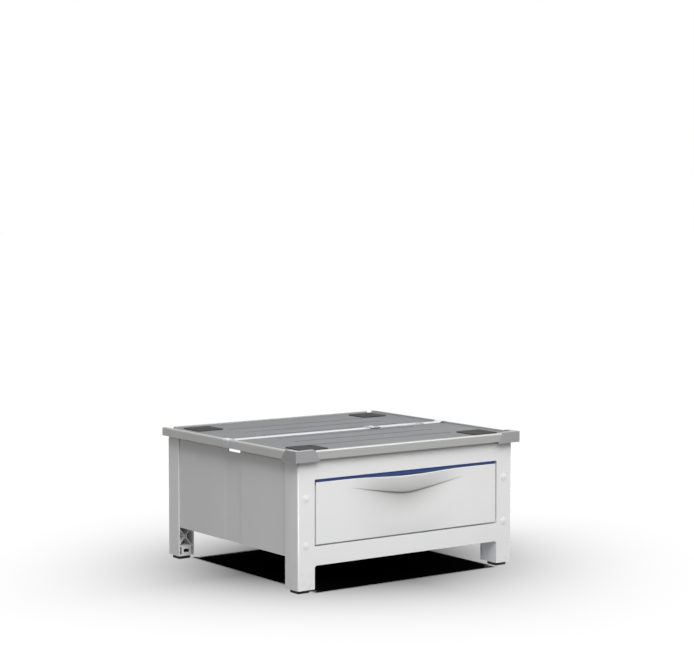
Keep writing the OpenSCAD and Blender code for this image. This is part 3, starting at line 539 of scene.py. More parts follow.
@dataclass(frozen=True)
class MouldedRubber(Finish):
    """Moulded black rubber: dull, with a dusty bloom and a fine pitted skin.

    Attributes:
        pit_mm: Size of a pit.
        pit_depth_mm: Depth of a pit.
        patch_mm: Size of the patches of bloom.
        spread: How far their roughness strays from the mean.
    """

    pit_mm: float = 1.4
    pit_depth_mm: float = 0.12
    patch_mm: float = 12.0
    spread: float = 0.06

    def pattern(
        self, tree: bpy.types.NodeTree, place: bpy.types.NodeSocket, surface: bpy.types.Node
    ) -> None:
        """Adds pits and bloom.

        Args:
            tree: The material's node tree.
            place: Object coordinates.
            surface: The Principled shader.
        """
        self.clouds(tree, place, surface, self.patch_mm, self.spread)
        pits = add_node(
            tree, "TexNoise", {"Vector": place, "Scale": per_metre(self.pit_mm), "Detail": 4.0}
        ).outputs["Fac"]
        bump = add_node(
            tree, "Bump", {"Height": pits, "Distance": self.pit_depth_mm * MM, "Strength": 0.7}
        ).outputs["Normal"]
        tree.links.new(bump, surface.inputs["Normal"])


@dataclass(frozen=True)
class WovenWebbing(Finish):
    """Woven polyester webbing. The weave follows the strap through the piece's own UV map.

    A rib of the weave is 1.1 mm wide, and is drawn 1.8 mm wide so that it shows.

    Attributes:
        rib_mm: Distance between the ribs as drawn.
        pick_mm: Distance between the picks.
        weave_depth_mm: Depth of the weave.
        edge_mm: Width of the firmer edges.
        edge_blend_mm: Width over which an edge begins.
        half_width_mm: Half the strap's width.
        patch_mm: Size of the soft cloudy patches.
        spread: How far their roughness strays from the mean.
        hollow: Colour of the painted shade in the hollows between the threads.
        hollow_most: Most of that painted shade that shows in the weave.
        edge_most: Most of it that shows along the edges.
        sheen: Weight of the fibres' sheen.
        sheen_roughness: Roughness of that sheen.
    """

    rib_mm: float = 1.8
    pick_mm: float = 2.6
    weave_depth_mm: float = 0.25
    edge_mm: float = 2.4
    edge_blend_mm: float = 0.6
    half_width_mm: float = 14.5
    patch_mm: float = 30.0
    spread: float = 0.04
    hollow: str = "#8b8d90"
    hollow_most: float = 0.22
    edge_most: float = 0.35
    sheen: float = 0.12
    sheen_roughness: float = 0.4

    def pattern(
        self, tree: bpy.types.NodeTree, place: bpy.types.NodeSocket, surface: bpy.types.Node
    ) -> None:
        """Adds ribs along the strap, picks across it with painted shade in their hollows, and its
        firmer edges.

        Args:
            tree: The material's node tree.
            place: Object coordinates, for the soft clouds.
            surface: The Principled shader.
        """
        tone = self.clouds(tree, place, surface, self.patch_mm, self.spread)
        run = add_node(tree, "TexCoord").outputs["UV"]
        ribs = add_node(
            tree,
            "TexWave",
            {"Vector": run, "Scale": bands_per_metre(self.rib_mm), "Distortion": 0.4},
            bands_direction="Y",
        ).outputs["Fac"]
        picks = add_node(
            tree,
            "TexWave",
            {"Vector": run, "Scale": bands_per_metre(self.pick_mm), "Distortion": 0.4},
            bands_direction="X",
        ).outputs["Fac"]
        weave = add_node(tree, "Math", {0: ribs, 1: picks}, operation="MULTIPLY").outputs[0]
        across = add_node(tree, "SeparateXYZ", {"Vector": run}).outputs["Y"]
        from_middle = add_node(tree, "Math", {0: across}, operation="ABSOLUTE").outputs[0]
        edge = add_node(
            tree,
            "MapRange",
            {
                "Value": from_middle,
                "From Min": (self.half_width_mm - self.edge_mm) * MM,
                "From Max": (self.half_width_mm - self.edge_mm + self.edge_blend_mm) * MM,
                "To Min": 0.0,
                "To Max": self.edge_most,
            },
        ).outputs["Result"]
        # Painted shade in the weave: the darker colour shows where the ribs and picks dip.
        thread = add_node(
            tree, "MapRange", {"Value": weave, "To Min": self.hollow_most, "To Max": 0.0}
        ).outputs["Result"]
        dark = add_node(tree, "Math", {0: edge, 1: thread}, operation="MAXIMUM").outputs[0]
        shaded = add_node(
            tree, "Mix", {0: dark, 6: tone, 7: linear(self.hollow)}, data_type="RGBA"
        ).outputs[2]
        bump = add_node(
            tree,
            "Bump",
            {"Height": weave, "Distance": self.weave_depth_mm * MM, "Strength": 0.8},
        ).outputs["Normal"]
        tree.links.new(shaded, surface.inputs["Base Color"])
        tree.links.new(bump, surface.inputs["Normal"])
        surface.inputs["Sheen Weight"].default_value = self.sheen
        surface.inputs["Sheen Roughness"].default_value = self.sheen_roughness


# The frame, legs, screw covers and bosses: satin white, faintly scuffed near the floor.
WHITE_ABS = MouldedPlastic(
    "moulded white ABS", Slot.WHITE_ABS, "#efefee", "#e9eaea", 0.42, scuff="#9a968e", coat=0.08
)
# The drawer front: the same white, with painted shade round the grip's crease.
FRONT_ABS = PaintedShadePlastic(
    "moulded white ABS, handled", Slot.WHITE_ABS, "#efefee", "#e9eaea", 0.42, coat=0.08
)
# The side panels and crossbars: a duller, slightly greyer white than the frame.
PANEL_PP = MouldedPlastic(
    "moulded white polypropylene", Slot.PANEL, "#e6e6e5", "#dfe0e0", 0.55, scuff="#9a968e"
)
# The tray's rails: pale satin metal, with die lines that run along each bar.
RAIL_X = ExtrudedAluminium("anodised aluminium across", Slot.RAIL, "#b8b8b6", "#b0b0ae", 0.42)
RAIL_Y = ExtrudedAluminium(
    "anodised aluminium along", Slot.RAIL, "#b8b8b6", "#b0b0ae", 0.42, along=Axis.Y
)
# The corner caps: mid grey with a coarser grain, so that they look matt beside the rails.
CAP_ABS = MouldedPlastic(
    "moulded grey ABS", Slot.CAP, "#a0a0a2", "#979799", 0.5, grain_mm=2.2, grain_depth_mm=0.06
)
# Screws, pins, brackets, ribs and the strap's fittings: bright cold metal.
ZINC = ZincPlate("zinc-plated steel", Slot.ZINC, "#c2c5c8", "#aeb2b6", 0.34)
# The deck: a dull mid grey skin with a fine orange peel.
DECK = PowderCoat("grey powder-coated sheet", Slot.DECK, "#6a6c6e", "#636567", 0.5)
# The slides: clean white paint, glossier than the panels.
SLIDE = PowderCoat("white powder-coated slide", Slot.SLIDE, "#ececea", "#e2e3e2", 0.38)
# Feet and pads: nearly black, with a dusty bloom that greys them a little.
RUBBER = MouldedRubber("moulded black rubber", Slot.RUBBER, "#1b1b1c", "#29292a", 0.72)
# The rollers: milky white, since light sinks in a little.
NYLON = MouldedPlastic(
    "natural nylon", Slot.NYLON, "#f1efe8", "#e8e5dc", 0.36, grain_depth_mm=0.015, glow=0.15
)
# The tub and the liner: deep blue under a soft clear gloss.
BLUE_PP = MouldedPlastic(
    "moulded blue polypropylene", Slot.BLUE, "#26478c", "#234181", 0.36, patch_mm=70, coat=0.1
)
# The strap: pale grey and dull, with a faint sheen.
POLYESTER = WovenWebbing("woven grey polyester webbing", Slot.WEBBING, "#d6d8d9", "#ccced0", 0.7)
# The stitches: a darker grey thread that stands out from the strap.
THREAD = MouldedPlastic(
    "grey sewing thread", Slot.WEBBING, "#8e9093", "#85878a", 0.7, grain_mm=0.6, patch_mm=6
)


# ---------------------------------------------------------------- shapes


@dataclass(frozen=True)
class Rounding:
    """How much some edges of a copied moulding are rounded.

    Attributes:
        width: Width of the rounding.
        segments: Number of strips that make it.
        where: Test of an edge's two ends; None takes every sharp edge.
        angle: Edges that turn less than this stay.
    """

    width: float
    segments: int = 2
    where: Callable[[Vector, Vector], bool] | None = None
    angle: float = math.radians(35)


def round_edges(shape: bmesh.types.BMesh, roundings: Iterable[Rounding]) -> None:
    """Rounds edges of a merged shape.

    Args:
        shape: The shape.
        roundings: What to round, in order.
    """
    for rounding in roundings:
        shape.normal_update()
        edges = [
            e
            for e in shape.edges
            if len(e.link_faces) == 2
            and e.calc_face_angle(0.0) > rounding.angle
            and (rounding.where is None or rounding.where(e.verts[0].co, e.verts[1].co))
        ]
        if edges:
            bmesh.ops.bevel(
                shape,
                geom=edges,
                offset=rounding.width,
                offset_type="OFFSET",
                affect="EDGES",
                segments=rounding.segments,
                profile=0.5,
                material=-1,
                clamp_overlap=True,
                loop_slide=True,
            )


def islands(shape: bmesh.types.BMesh) -> list[list[bmesh.types.BMVert]]:
    """Splits a shape into its separate solids.

    Args:
        shape: The shape.

    Returns:
        The vertices of each solid.
    """
    left = set(shape.verts)
    found = []
    while left:
        group, queue = [], [left.pop()]
        while queue:
            vert = queue.pop()
            group.append(vert)
            for edge in vert.link_edges:
                other = edge.other_vert(vert)
                if other in left:
                    left.remove(other)
                    queue.append(other)
        found.append(group)
    found.sort(key=lambda g: tuple(round(min(v.co[i] for v in g), 5) for i in range(3)))
    return found


def box_of(verts: Iterable[bmesh.types.BMVert]) -> tuple[Vector, Vector]:
    """Returns the lowest and highest corners of some vertices."""
    points = [v.co for v in verts]
    low = Vector([min(p[i] for p in points) for i in range(3)])
    high = Vector([max(p[i] for p in points) for i in range(3)])
    return low, high


def add_block(
    shape: bmesh.types.BMesh, low: Sequence[float], high: Sequence[float]
) -> list[bmesh.types.BMVert]:
    """Adds a box between two corners.

    Args:
        shape: The shape to add to.
        low: Lowest corner.
        high: Highest corner.

    Returns:
        The box's vertices.
    """
    low, high = Vector(low), Vector(high)
    size = high - low
    place = Matrix.Translation((low + high) / 2) @ Matrix.Diagonal((*size, 1.0))
    return bmesh.ops.create_cube(shape, size=1.0, matrix=place)["verts"]


def join(shape: bmesh.types.BMesh, other: bmesh.types.BMesh, place: Matrix) -> None:
    """Adds a copy of another shape at a place.

    Args:
        shape: The shape to add to.
        other: The shape that is copied.
        place: Where the copy goes.
    """
    mesh = bpy.data.meshes.new("joined")
    other.to_mesh(mesh)
    mesh.transform(place)
    shape.from_mesh(mesh)
    bpy.data.meshes.remove(mesh)


def carve(shape: bmesh.types.BMesh, cutter: bmesh.types.BMesh) -> bmesh.types.BMesh:
    """Cuts one closed shape out of another.

    Args:
        shape: The shape to cut. It is freed.
        cutter: The shape to take away. It is freed.

    Returns:
        What is left.
    """
    holders = []
    for part, label in ((shape, "carved"), (cutter, "cutter")):
        mesh = bpy.data.meshes.new(label)
        part.to_mesh(mesh)
        part.free()
        holder = bpy.data.objects.new(label, mesh)
        bpy.context.scene.collection.objects.link(holder)
        holders.append(holder)
    target, tool = holders
    modifier = target.modifiers.new("cut", "BOOLEAN")
    modifier.operation = "DIFFERENCE"
    modifier.solver = "EXACT"
    modifier.object = tool
    graph = bpy.context.evaluated_depsgraph_get()
    result = bmesh.new()
    result.from_mesh(target.evaluated_get(graph).to_mesh())
    for holder in holders:
        mesh = holder.data
        bpy.data.objects.remove(holder)
        bpy.data.meshes.remove(mesh)
    return result


class Workshop:
    """Turns shapes into finished pieces that ride on their bodies."""

    def __init__(self, packed: dict) -> None:
        """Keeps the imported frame.
        """
        self.nodes: dict[str, bpy.types.Object] = packed["nodes"]
        bodies = packed["record"]["behaviour"]["bodies"]
        self.body_of = {node: body for body, members in bodies.items() for node in members}
        self.materials: dict[Finish, bpy.types.Material] = {}

    def material(self, finish: Finish) -> bpy.types.Material:
        """Returns the finish's material, built once."""
        if finish not in self.materials:
            self.materials[finish] = finish.build()
        return self.materials[finish]

    def copy_of(self, node: str) -> bmesh.types.BMesh:
        """Copies a node's mesh, merges its loose triangles and clears its flat faces.

        Args:
            node: The node's name.

        Returns:
            The copy.
        """
        shape = bmesh.new()
        shape.from_mesh(self.nodes[node].data)
        bmesh.ops.remove_doubles(shape, verts=shape.verts, dist=MERGE)
        bmesh.ops.dissolve_degenerate(shape, dist=SLIVER, edges=shape.edges)
        bmesh.ops.dissolve_limit(
            shape, angle_limit=math.radians(0.4), verts=shape.verts, edges=shape.edges
        )
        return shape

    def piece(
        self,
        name: str,
        shape: bmesh.types.BMesh,
        finish: Finish,
        nodes: Sequence[str],
        smooth_to: float = 50.0,
    ) -> bpy.types.Object:
        """Makes a finished piece that stands for some nodes.

        Args:
            name: The piece's name.
            shape: Its shape, which is freed.
            finish: Its finish.
            nodes: The nodes that it replaces; it rides on the first one's body.
            smooth_to: Edges that turn more than this many degrees stay sharp.

        Returns:
            The piece.
        """
        mesh = bpy.data.meshes.new(name)
        shape.normal_update()
        shape.to_mesh(mesh)
        shape.free()
        mesh.materials.clear()
        mesh.materials.append(self.material(finish))
        for polygon in mesh.polygons:
            polygon.material_index = 0
        mesh.shade_smooth()
        mesh.set_sharp_from_angle(angle=math.radians(smooth_to))
        piece = bpy.data.objects.new(name, mesh)
        bpy.context.scene.collection.objects.link(piece)
        weighted = piece.modifiers.new("even shading", "WEIGHTED_NORMAL")
        weighted.keep_sharp = True
        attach(piece, self.body_of[nodes[0]])
        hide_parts(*nodes)
        LOG.info("%s: %d faces, stands for %s", name, len(mesh.polygons), ", ".join(nodes))
        return piece

    def soften(
        self, node: str, name: str, finish: Finish, *roundings: Rounding
    ) -> bpy.types.Object:
        """Makes a piece from a node's own shape with its edges rounded.

        Args:
            node: The node's name.
            name: The piece's name.
            finish: Its finish.
            *roundings: What to round.

        Returns:
            The piece.
        """
        shape = self.copy_of(node)
        round_edges(shape, roundings)
        return self.piece(name, shape, finish, [node])


SIDES = ("left", "right")


# ---------------------------------------------------------------- body


@dataclass
class Body:
    """The moulded frame, legs, side panels and rear crossbars.

    Attributes:
        frame_edge: Rounding of the frame's front edges.
        leg_edge: Rounding of the legs' edges.
        panel_edge: Rounding of the side panels' edges.
        bar_edge: Rounding of the crossbars' edges.
        front_gap: Height and depth of the shadow gap under the front rail.
        side_gap: Height and depth of the shadow gap under a side rail.
        seam_y: Where the rear panel tucks behind the front one.
        seam_x: Outer face of the middle strip.
        seam_width: Width of the groove at the seam.
        seam_depth: Depth of that groove.
        step_y: Rear end of the middle strip.
        step_run: Length of the slope from the strip out to the rear panel's face.
        step_clear: How far the slope's cutter stays off the strip.
        cover_radius: Radius of a screw cover.
        cover_rise: Height of its dome.
        cover_rim: Height of its flat rim.
        cover_corner: Height of a ring on the rim's upright edge.
        cover_spare: How far past the rim the dome would reach the face.
        cover_curve: How square the dome is.
        cover_rings: Rings of the dome.
        cover_steps: Steps of its full turn.
        nub_radius: Radius of the nub in the middle of a cover.
        nub_rise: Height of the nub's top.
        nub_foot: How far the nub's foot lies below the dome's peak.
        nub_end: The nub's rounded end, as shares of its radius and drops below its top.
        plug_depth: Depth of the plug behind a cover.
        plug_radius: Radius of that plug.
        plug_chamfer: Chamfer at its end.
    """

    frame_edge: float = 1.7 * MM
    leg_edge: float = 0.5 * MM
    panel_edge: float = 0.8 * MM
    bar_edge: float = 0.6 * MM
    front_gap: tuple[float, float] = (5.5 * MM, 2.2 * MM)
    side_gap: tuple[float, float] = (7.0 * MM, 1.4 * MM)
    seam_y: float = -35.0 * MM
    seam_x: float = 287.5 * MM
    seam_width: float = 1.8 * MM
    seam_depth: float = 1.5 * MM
    step_y: float = 32.0 * MM
    step_run: float = 9.0 * MM
    step_clear: float = 0.02 * MM
    cover_radius: float = 8.5 * MM
    cover_rise: float = 1.3 * MM
    cover_rim: float = 0.55 * MM
    cover_corner: float = 0.2 * MM
    cover_spare: float = 0.5 * MM
    cover_curve: float = 2.4
    cover_rings: int = 9
    cover_steps: int = 72
    nub_radius: float = 1.7 * MM
    nub_rise: float = 1.55 * MM
    nub_foot: float = 0.1 * MM
    nub_end: tuple[tuple[float, float], ...] = ((0.0, 0.0), (0.6, 0.03 * MM), (0.92, 0.18 * MM))
    plug_depth: float = 3.0 * MM
    plug_radius: float = 4.9 * MM
    plug_chamfer: float = 0.4 * MM

    def make(self, shop: Workshop) -> None:
        """Builds the body's pieces.

        Args:
            shop: The workshop.
        """
        self.front_frame(shop)
        for side in SIDES:
            self.side_piece(shop, f"rear_{side}_leg", WHITE_ABS, self.leg_edge)
            for place in ("front", "rear"):
                self.side_piece(shop, f"{side}_{place}_panel", PANEL_PP, self.panel_edge)
        for level in ("upper", "lower"):
            shop.soften(
                f"rear_{level}_crossbar",
                f"rear_{level}_crossbar_moulding",
                PANEL_PP,
                Rounding(self.bar_edge, 2),
            )
        self.covers(shop)

    def side_piece(self, shop: Workshop, node: str, finish: Finish, edge: float) -> None:
        """Makes a leg or a side panel, with the shadow gap under the rail along its top.

        Args:
            shop: The workshop.
            node: The node that it copies.
            finish: Its finish.
            edge: Width of its rounded edges.
        """
        low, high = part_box(node)
        way = math.copysign(1.0, low.x + high.x)
        shape = self.side_groove(shop.copy_of(node), way, low, high)
        if "rear_panel" in node:
            spans = sorted(way * x for x in (self.seam_x - self.seam_depth, self.seam_x + PAST))
            cutter = bmesh.new()
            add_block(
                cutter,
                (spans[0], self.seam_y, low.z - PAST),
                (spans[1], self.seam_y + self.seam_width, high.z + PAST),
            )
            shape = self.soft_step(carve(shape, cutter), way, low, high)
        bmesh.ops.remove_doubles(shape, verts=shape.verts, dist=MERGE)
        round_edges(shape, [Rounding(edge, 2)])
        shop.piece(f"{node}_moulding", shape, finish, [node])

    def soft_step(
        self, shape: bmesh.types.BMesh, way: float, low: Vector, high: Vector
    ) -> bmesh.types.BMesh:
        """Slopes the step between the middle strip and the rear panel's outer face.

        Args:
            shape: The shape to cut. It is freed.
            way: -1 for the left side, 1 for the right.
            low: Lowest corner of the shape.
            high: Highest corner.

        Returns:
            What is left.
        """
        face = max(way * low.x, way * high.x)
        start, inside = self.step_y - PAST, self.seam_x + self.step_clear
        cutter = bmesh.new()
        corners = [
            cutter.verts.new((way * x, y, low.z - PAST))
            for x, y in (
                (inside, start),
                (inside, self.step_y),
                (face, self.step_y + self.step_run),
                (face + PAST, self.step_y + self.step_run),
                (face + PAST, start),
            )
        ]
        wedge = bmesh.ops.extrude_face_region(cutter, geom=[cutter.faces.new(corners)])["geom"]
        tops = [g for g in wedge if isinstance(g, bmesh.types.BMVert)]
        bmesh.ops.translate(cutter, verts=tops, vec=(0, 0, high.z - low.z + 2 * PAST))
        bmesh.ops.recalc_face_normals(cutter, faces=cutter.faces)
        return carve(shape, cutter)

    def side_groove(
        self, shape: bmesh.types.BMesh, way: float, low: Vector, high: Vector
    ) -> bmesh.types.BMesh:
        """Cuts the shadow gap along the top of one outer side.

        Args:
            shape: The shape to cut. It is freed.
            way: -1 for the left side, 1 for the right.
            low: Lowest corner of the shape.
            high: Highest corner.

        Returns:
            What is left.
        """
        tall, deep = self.side_gap
        face = max(way * low.x, way * high.x)
        spans = sorted(way * x for x in (face - deep, face + PAST))
        cutter = bmesh.new()
        add_block(
            cutter,
            (spans[0], low.y - PAST, high.z - tall),
            (spans[1], high.y + PAST, high.z + PAST),
        )
        return carve(shape, cutter)

    def front_frame(self, shop: Workshop) -> None:
        """Cuts the shadow gap under the rails, and rounds the frame's front and rear edges.

        Args:
            shop: The workshop.
        """
        low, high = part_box("front_frame")
        face, rear = low.y + NEAR, high.y - NEAR
        tall, deep = self.front_gap
        cutter = bmesh.new()
        add_block(
            cutter,
            (low.x - PAST, low.y - PAST, high.z - tall),
            (high.x + PAST, low.y + deep, high.z + PAST),
        )
        shape = carve(shop.copy_of("front_frame"), cutter)
        for way in (-1.0, 1.0):
            shape = self.side_groove(shape, way, low, high)
        bmesh.ops.remove_doubles(shape, verts=shape.verts, dist=MERGE)
        round_edges(
            shape,
            [
                Rounding(self.frame_edge, 4, lambda a, b: a.y < face and b.y < face),
                Rounding(self.leg_edge, 2, lambda a, b: a.y > rear and b.y > rear),
            ],
        )
        shop.piece("front_frame_moulding", shape, WHITE_ABS, ["front_frame"])

    def covers(self, shop: Workshop) -> None:
        """Turns the round screw covers: a low dome with a flat rim and a small nub.

        Args:
            shop: The workshop.
        """
        outline = [(self.nub_radius * part, self.nub_rise - drop) for part, drop in self.nub_end]
        outline.append((self.nub_radius, self.cover_rise - self.nub_foot))
        for i in range(1, self.cover_rings + 1):
            radius = self.nub_radius + (self.cover_radius - self.nub_radius) * i / self.cover_rings
            drop = 1 - (radius / (self.cover_radius + self.cover_spare)) ** self.cover_curve
            outline.append((radius, max(self.cover_rim, self.cover_rise * drop)))
        outline += [
            (self.cover_radius, self.cover_corner),
            (self.cover_radius, 0.0),
            (self.plug_radius, 0.0),
            (self.plug_radius, -self.plug_depth + self.plug_chamfer),
            (self.plug_radius - self.plug_chamfer, -self.plug_depth),
            (0.0, -self.plug_depth),
        ]
        one = turned(outline, self.cover_steps)
        shape = bmesh.new()
        source = shop.copy_of("screw_covers")
        for group in islands(source):
            low, high = box_of(group)
            middle = (low + high) / 2
            seat = Vector((middle.x, high.y - self.plug_depth, middle.z))
            join(shape, one, Matrix.Translation(seat) @ Matrix.Rotation(math.pi / 2, 4, "X"))
        source.free()
        one.free()
        shop.piece("screw_cover_domes", shape, WHITE_ABS, ["screw_covers"])


def turned(outline: Sequence[tuple[float, float]], steps: int) -> bmesh.types.BMesh:
    """Turns an outline about Z into a closed shape.

    Args:
        outline: Points as (radius, height), from the axis round to the axis.
        steps: Number of steps of a full turn.

    Returns:
        The turned shape.
    """
    shape = bmesh.new()
    verts = [shape.verts.new((radius, 0.0, height)) for radius, height in outline]
    edges = [shape.edges.new(pair) for pair in zip(verts, verts[1:])]
    bmesh.ops.spin(
        shape,
        geom=verts + edges,
        cent=(0, 0, 0),
        axis=(0, 0, 1),
        angle=math.tau,
        steps=steps,
        use_merge=True,
    )
    bmesh.ops.remove_doubles(shape, verts=shape.verts, dist=MERGE)
    bmesh.ops.recalc_face_normals(shape, faces=shape.faces)
    return shape


# ---------------------------------------------------------------- tray


@dataclass
class Tray:
    """The rails, corner caps, deck, ribs and anti-slip pads on top.

    Attributes:
        rail_edge: Rounding of the rails' edges.
        cap_edge: Rounding of the corner caps' edges.
        bracket_edge: Rounding of the rear corner brackets' edges.
        rib_edge: Rounding of the ribs' edges.
        deck_edge: Rounding of the deck's edges.
        pad_edge: Rounding of the pads' edges.
        groove_depth: Depth of a pressed groove in the deck.
        groove_width: Its width.
        groove_pitch: Distance between the grooves.
        groove_margin: How far they stay from the deck's front and rear.
        groove_end: How far they stay from its sides.
        groove_segments: Segments of a groove's round end.
        strap_keep_out: How far they stay from the strap's middle.
        pad_margin: How far a pad's grooves stay from its edges.
        pad_pitch: Distance between a pad's grooves.
        pad_groove: Width of a pad's groove.
        pad_depth: Depth of a pad's groove.
    """

    rail_edge: float = 0.5 * MM
    cap_edge: float = 0.7 * MM
    bracket_edge: float = 0.3 * MM
    rib_edge: float = 0.5 * MM
    deck_edge: float = 0.4 * MM
    pad_edge: float = 0.25 * MM
    groove_depth: float = 1.3 * MM
    groove_width: float = 12.0 * MM
    groove_pitch: float = 68.0 * MM
    groove_margin: float = 62.0 * MM
    groove_end: float = 105.0 * MM
    groove_segments: int = 10
    strap_keep_out: float = 26.0 * MM
    pad_margin: float = 6.0 * MM
    pad_pitch: float = 5.5 * MM
    pad_groove: float = 1.8 * MM
    pad_depth: float = 0.9 * MM

    def make(self, shop: Workshop) -> None:
        """Builds the tray's pieces.

        Args:
            shop: The workshop.
        """
        for node, finish in (
            ("front_rail", RAIL_X),
            ("rear_rail", RAIL_X),
            ("left_rail", RAIL_Y),
            ("right_rail", RAIL_Y),
        ):
            shop.soften(node, f"{node}_extrusion", finish, Rounding(self.rail_edge, 2))
        for side in SIDES:
            shop.soften(
                f"{side}_corner_cap",
                f"{side}_corner_cap_moulding",
                CAP_ABS,
                Rounding(self.cap_edge, 3),
            )
        shop.soften(
            "rear_corner_brackets", "rear_corner_angles", ZINC, Rounding(self.bracket_edge, 2)
        )
        shop.soften("deck_ribs", "deck_hat_ribs", ZINC, Rounding(self.rib_edge, 2))
        self.deck(shop)
        self.pads(shop)

    def deck(self, shop: Workshop) -> None:
        """Presses shallow stiffening grooves into the deck, clear of the strap and pads.

        Args:
            shop: The workshop.
        """
        low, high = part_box("deck_plate")
        grooves = bmesh.new()
        reach = high.x - self.groove_end
        strap = sum(corner.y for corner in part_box("strap_webbing")) / 2
        count = int((high.y - low.y - 2 * self.groove_margin) / self.groove_pitch) + 1
        first = (low.y + high.y) / 2 - (count - 1) / 2 * self.groove_pitch
        for i in range(count):
            y = first + i * self.groove_pitch
            if abs(y - strap) < self.strap_keep_out:
                continue
            bar = add_block(
                grooves,
                (-reach, y - self.groove_width / 2, high.z - self.groove_depth),
                (reach, y + self.groove_width / 2, high.z + 2 * PAST),
            )
            uprights = {
                e
                for v in bar
                for e in v.link_edges
                if abs(e.verts[0].co.z - e.verts[1].co.z) > NEAR
            }
            bmesh.ops.bevel(
                grooves,
                geom=list(uprights),
                offset=self.groove_width / 2 - 5 * NEAR,
                offset_type="OFFSET",
                affect="EDGES",
                segments=self.groove_segments,
                profile=0.5,
                material=-1,
            )
        shape = carve(shop.copy_of("deck_plate"), grooves)
        bmesh.ops.remove_doubles(shape, verts=shape.verts, dist=MERGE)
        round_edges(shape, [Rounding(self.deck_edge, 2)])
        shop.piece("deck_pressed_sheet", shape, DECK, ["deck_plate"])

    def pads(self, shop: Workshop) -> None:
        """Cuts grip grooves into the rubber pads, and rounds their edges.

        Args:
            shop: The workshop.
        """
        pads = shop.copy_of("anti_slip_pads")
        grooves = bmesh.new()
        for group in islands(pads):
            low, high = box_of(group)
            middle = (low + high) / 2
            count = int((high.y - low.y - 2 * self.pad_margin) / self.pad_pitch)
            for i in range(count + 1):
                y = middle.y + (i - count / 2) * self.pad_pitch
                add_block(
                    grooves,
                    (low.x + self.pad_margin, y - self.pad_groove / 2, high.z - self.pad_depth),
                    (high.x - self.pad_margin, y + self.pad_groove / 2, high.z + PAST),
                )
        shape = carve(pads, grooves)
        bmesh.ops.remove_doubles(shape, verts=shape.verts, dist=MERGE)
        round_edges(shape, [Rounding(self.pad_edge, 2)])
        shop.piece("anti_slip_pad_ribs", shape, RUBBER, ["anti_slip_pads"])


# ---------------------------------------------------------------- feet


@dataclass
class Feet:
    """The four rubber feet.

    Attributes:
        edge: Rounding of a foot's bottom edge.
        groove_low: Height of the groove's lower edge.
        groove_high: Height of its upper edge.
        groove_depth: Depth of the groove.
        groove_slope: How far its two sides slope in.
    """

    edge: float = 1.2 * MM
    groove_low: float = 3.2 * MM
    groove_high: float = 4.4 * MM
    groove_depth: float = 0.8 * MM
    groove_slope: float = 0.15 * MM

    def make(self, shop: Workshop) -> None:
        """Rounds each foot and cuts a groove round it.

        Args:
            shop: The workshop.
        """
        for place in ("front", "rear"):
            for side in SIDES:
                node = f"{place}_{side}_foot"
                shape = shop.copy_of(node)
                round_edges(shape, [Rounding(self.edge, 3, lambda a, b: max(a.z, b.z) < NEAR)])
                for height in (self.groove_low, self.groove_high):
                    bmesh.ops.bisect_plane(
                        shape,
                        geom=shape.verts[:] + shape.edges[:] + shape.faces[:],
                        dist=SLIVER,
                        plane_co=(0, 0, height),
                        plane_no=(0, 0, 1),
                    )
                shape.normal_update()
                band = [
                    f
                    for f in shape.faces
                    if self.groove_low < f.calc_center_median().z < self.groove_high
                    and abs(f.normal.z) < 0.1
                ]
                bmesh.ops.inset_region(
                    shape,
                    faces=band,
                    thickness=self.groove_slope,
                    depth=-self.groove_depth,
                    use_even_offset=True,
                )
                shop.piece(f"{node}_rubber", shape, RUBBER, [node])


# ---------------------------------------------------------------- fasteners


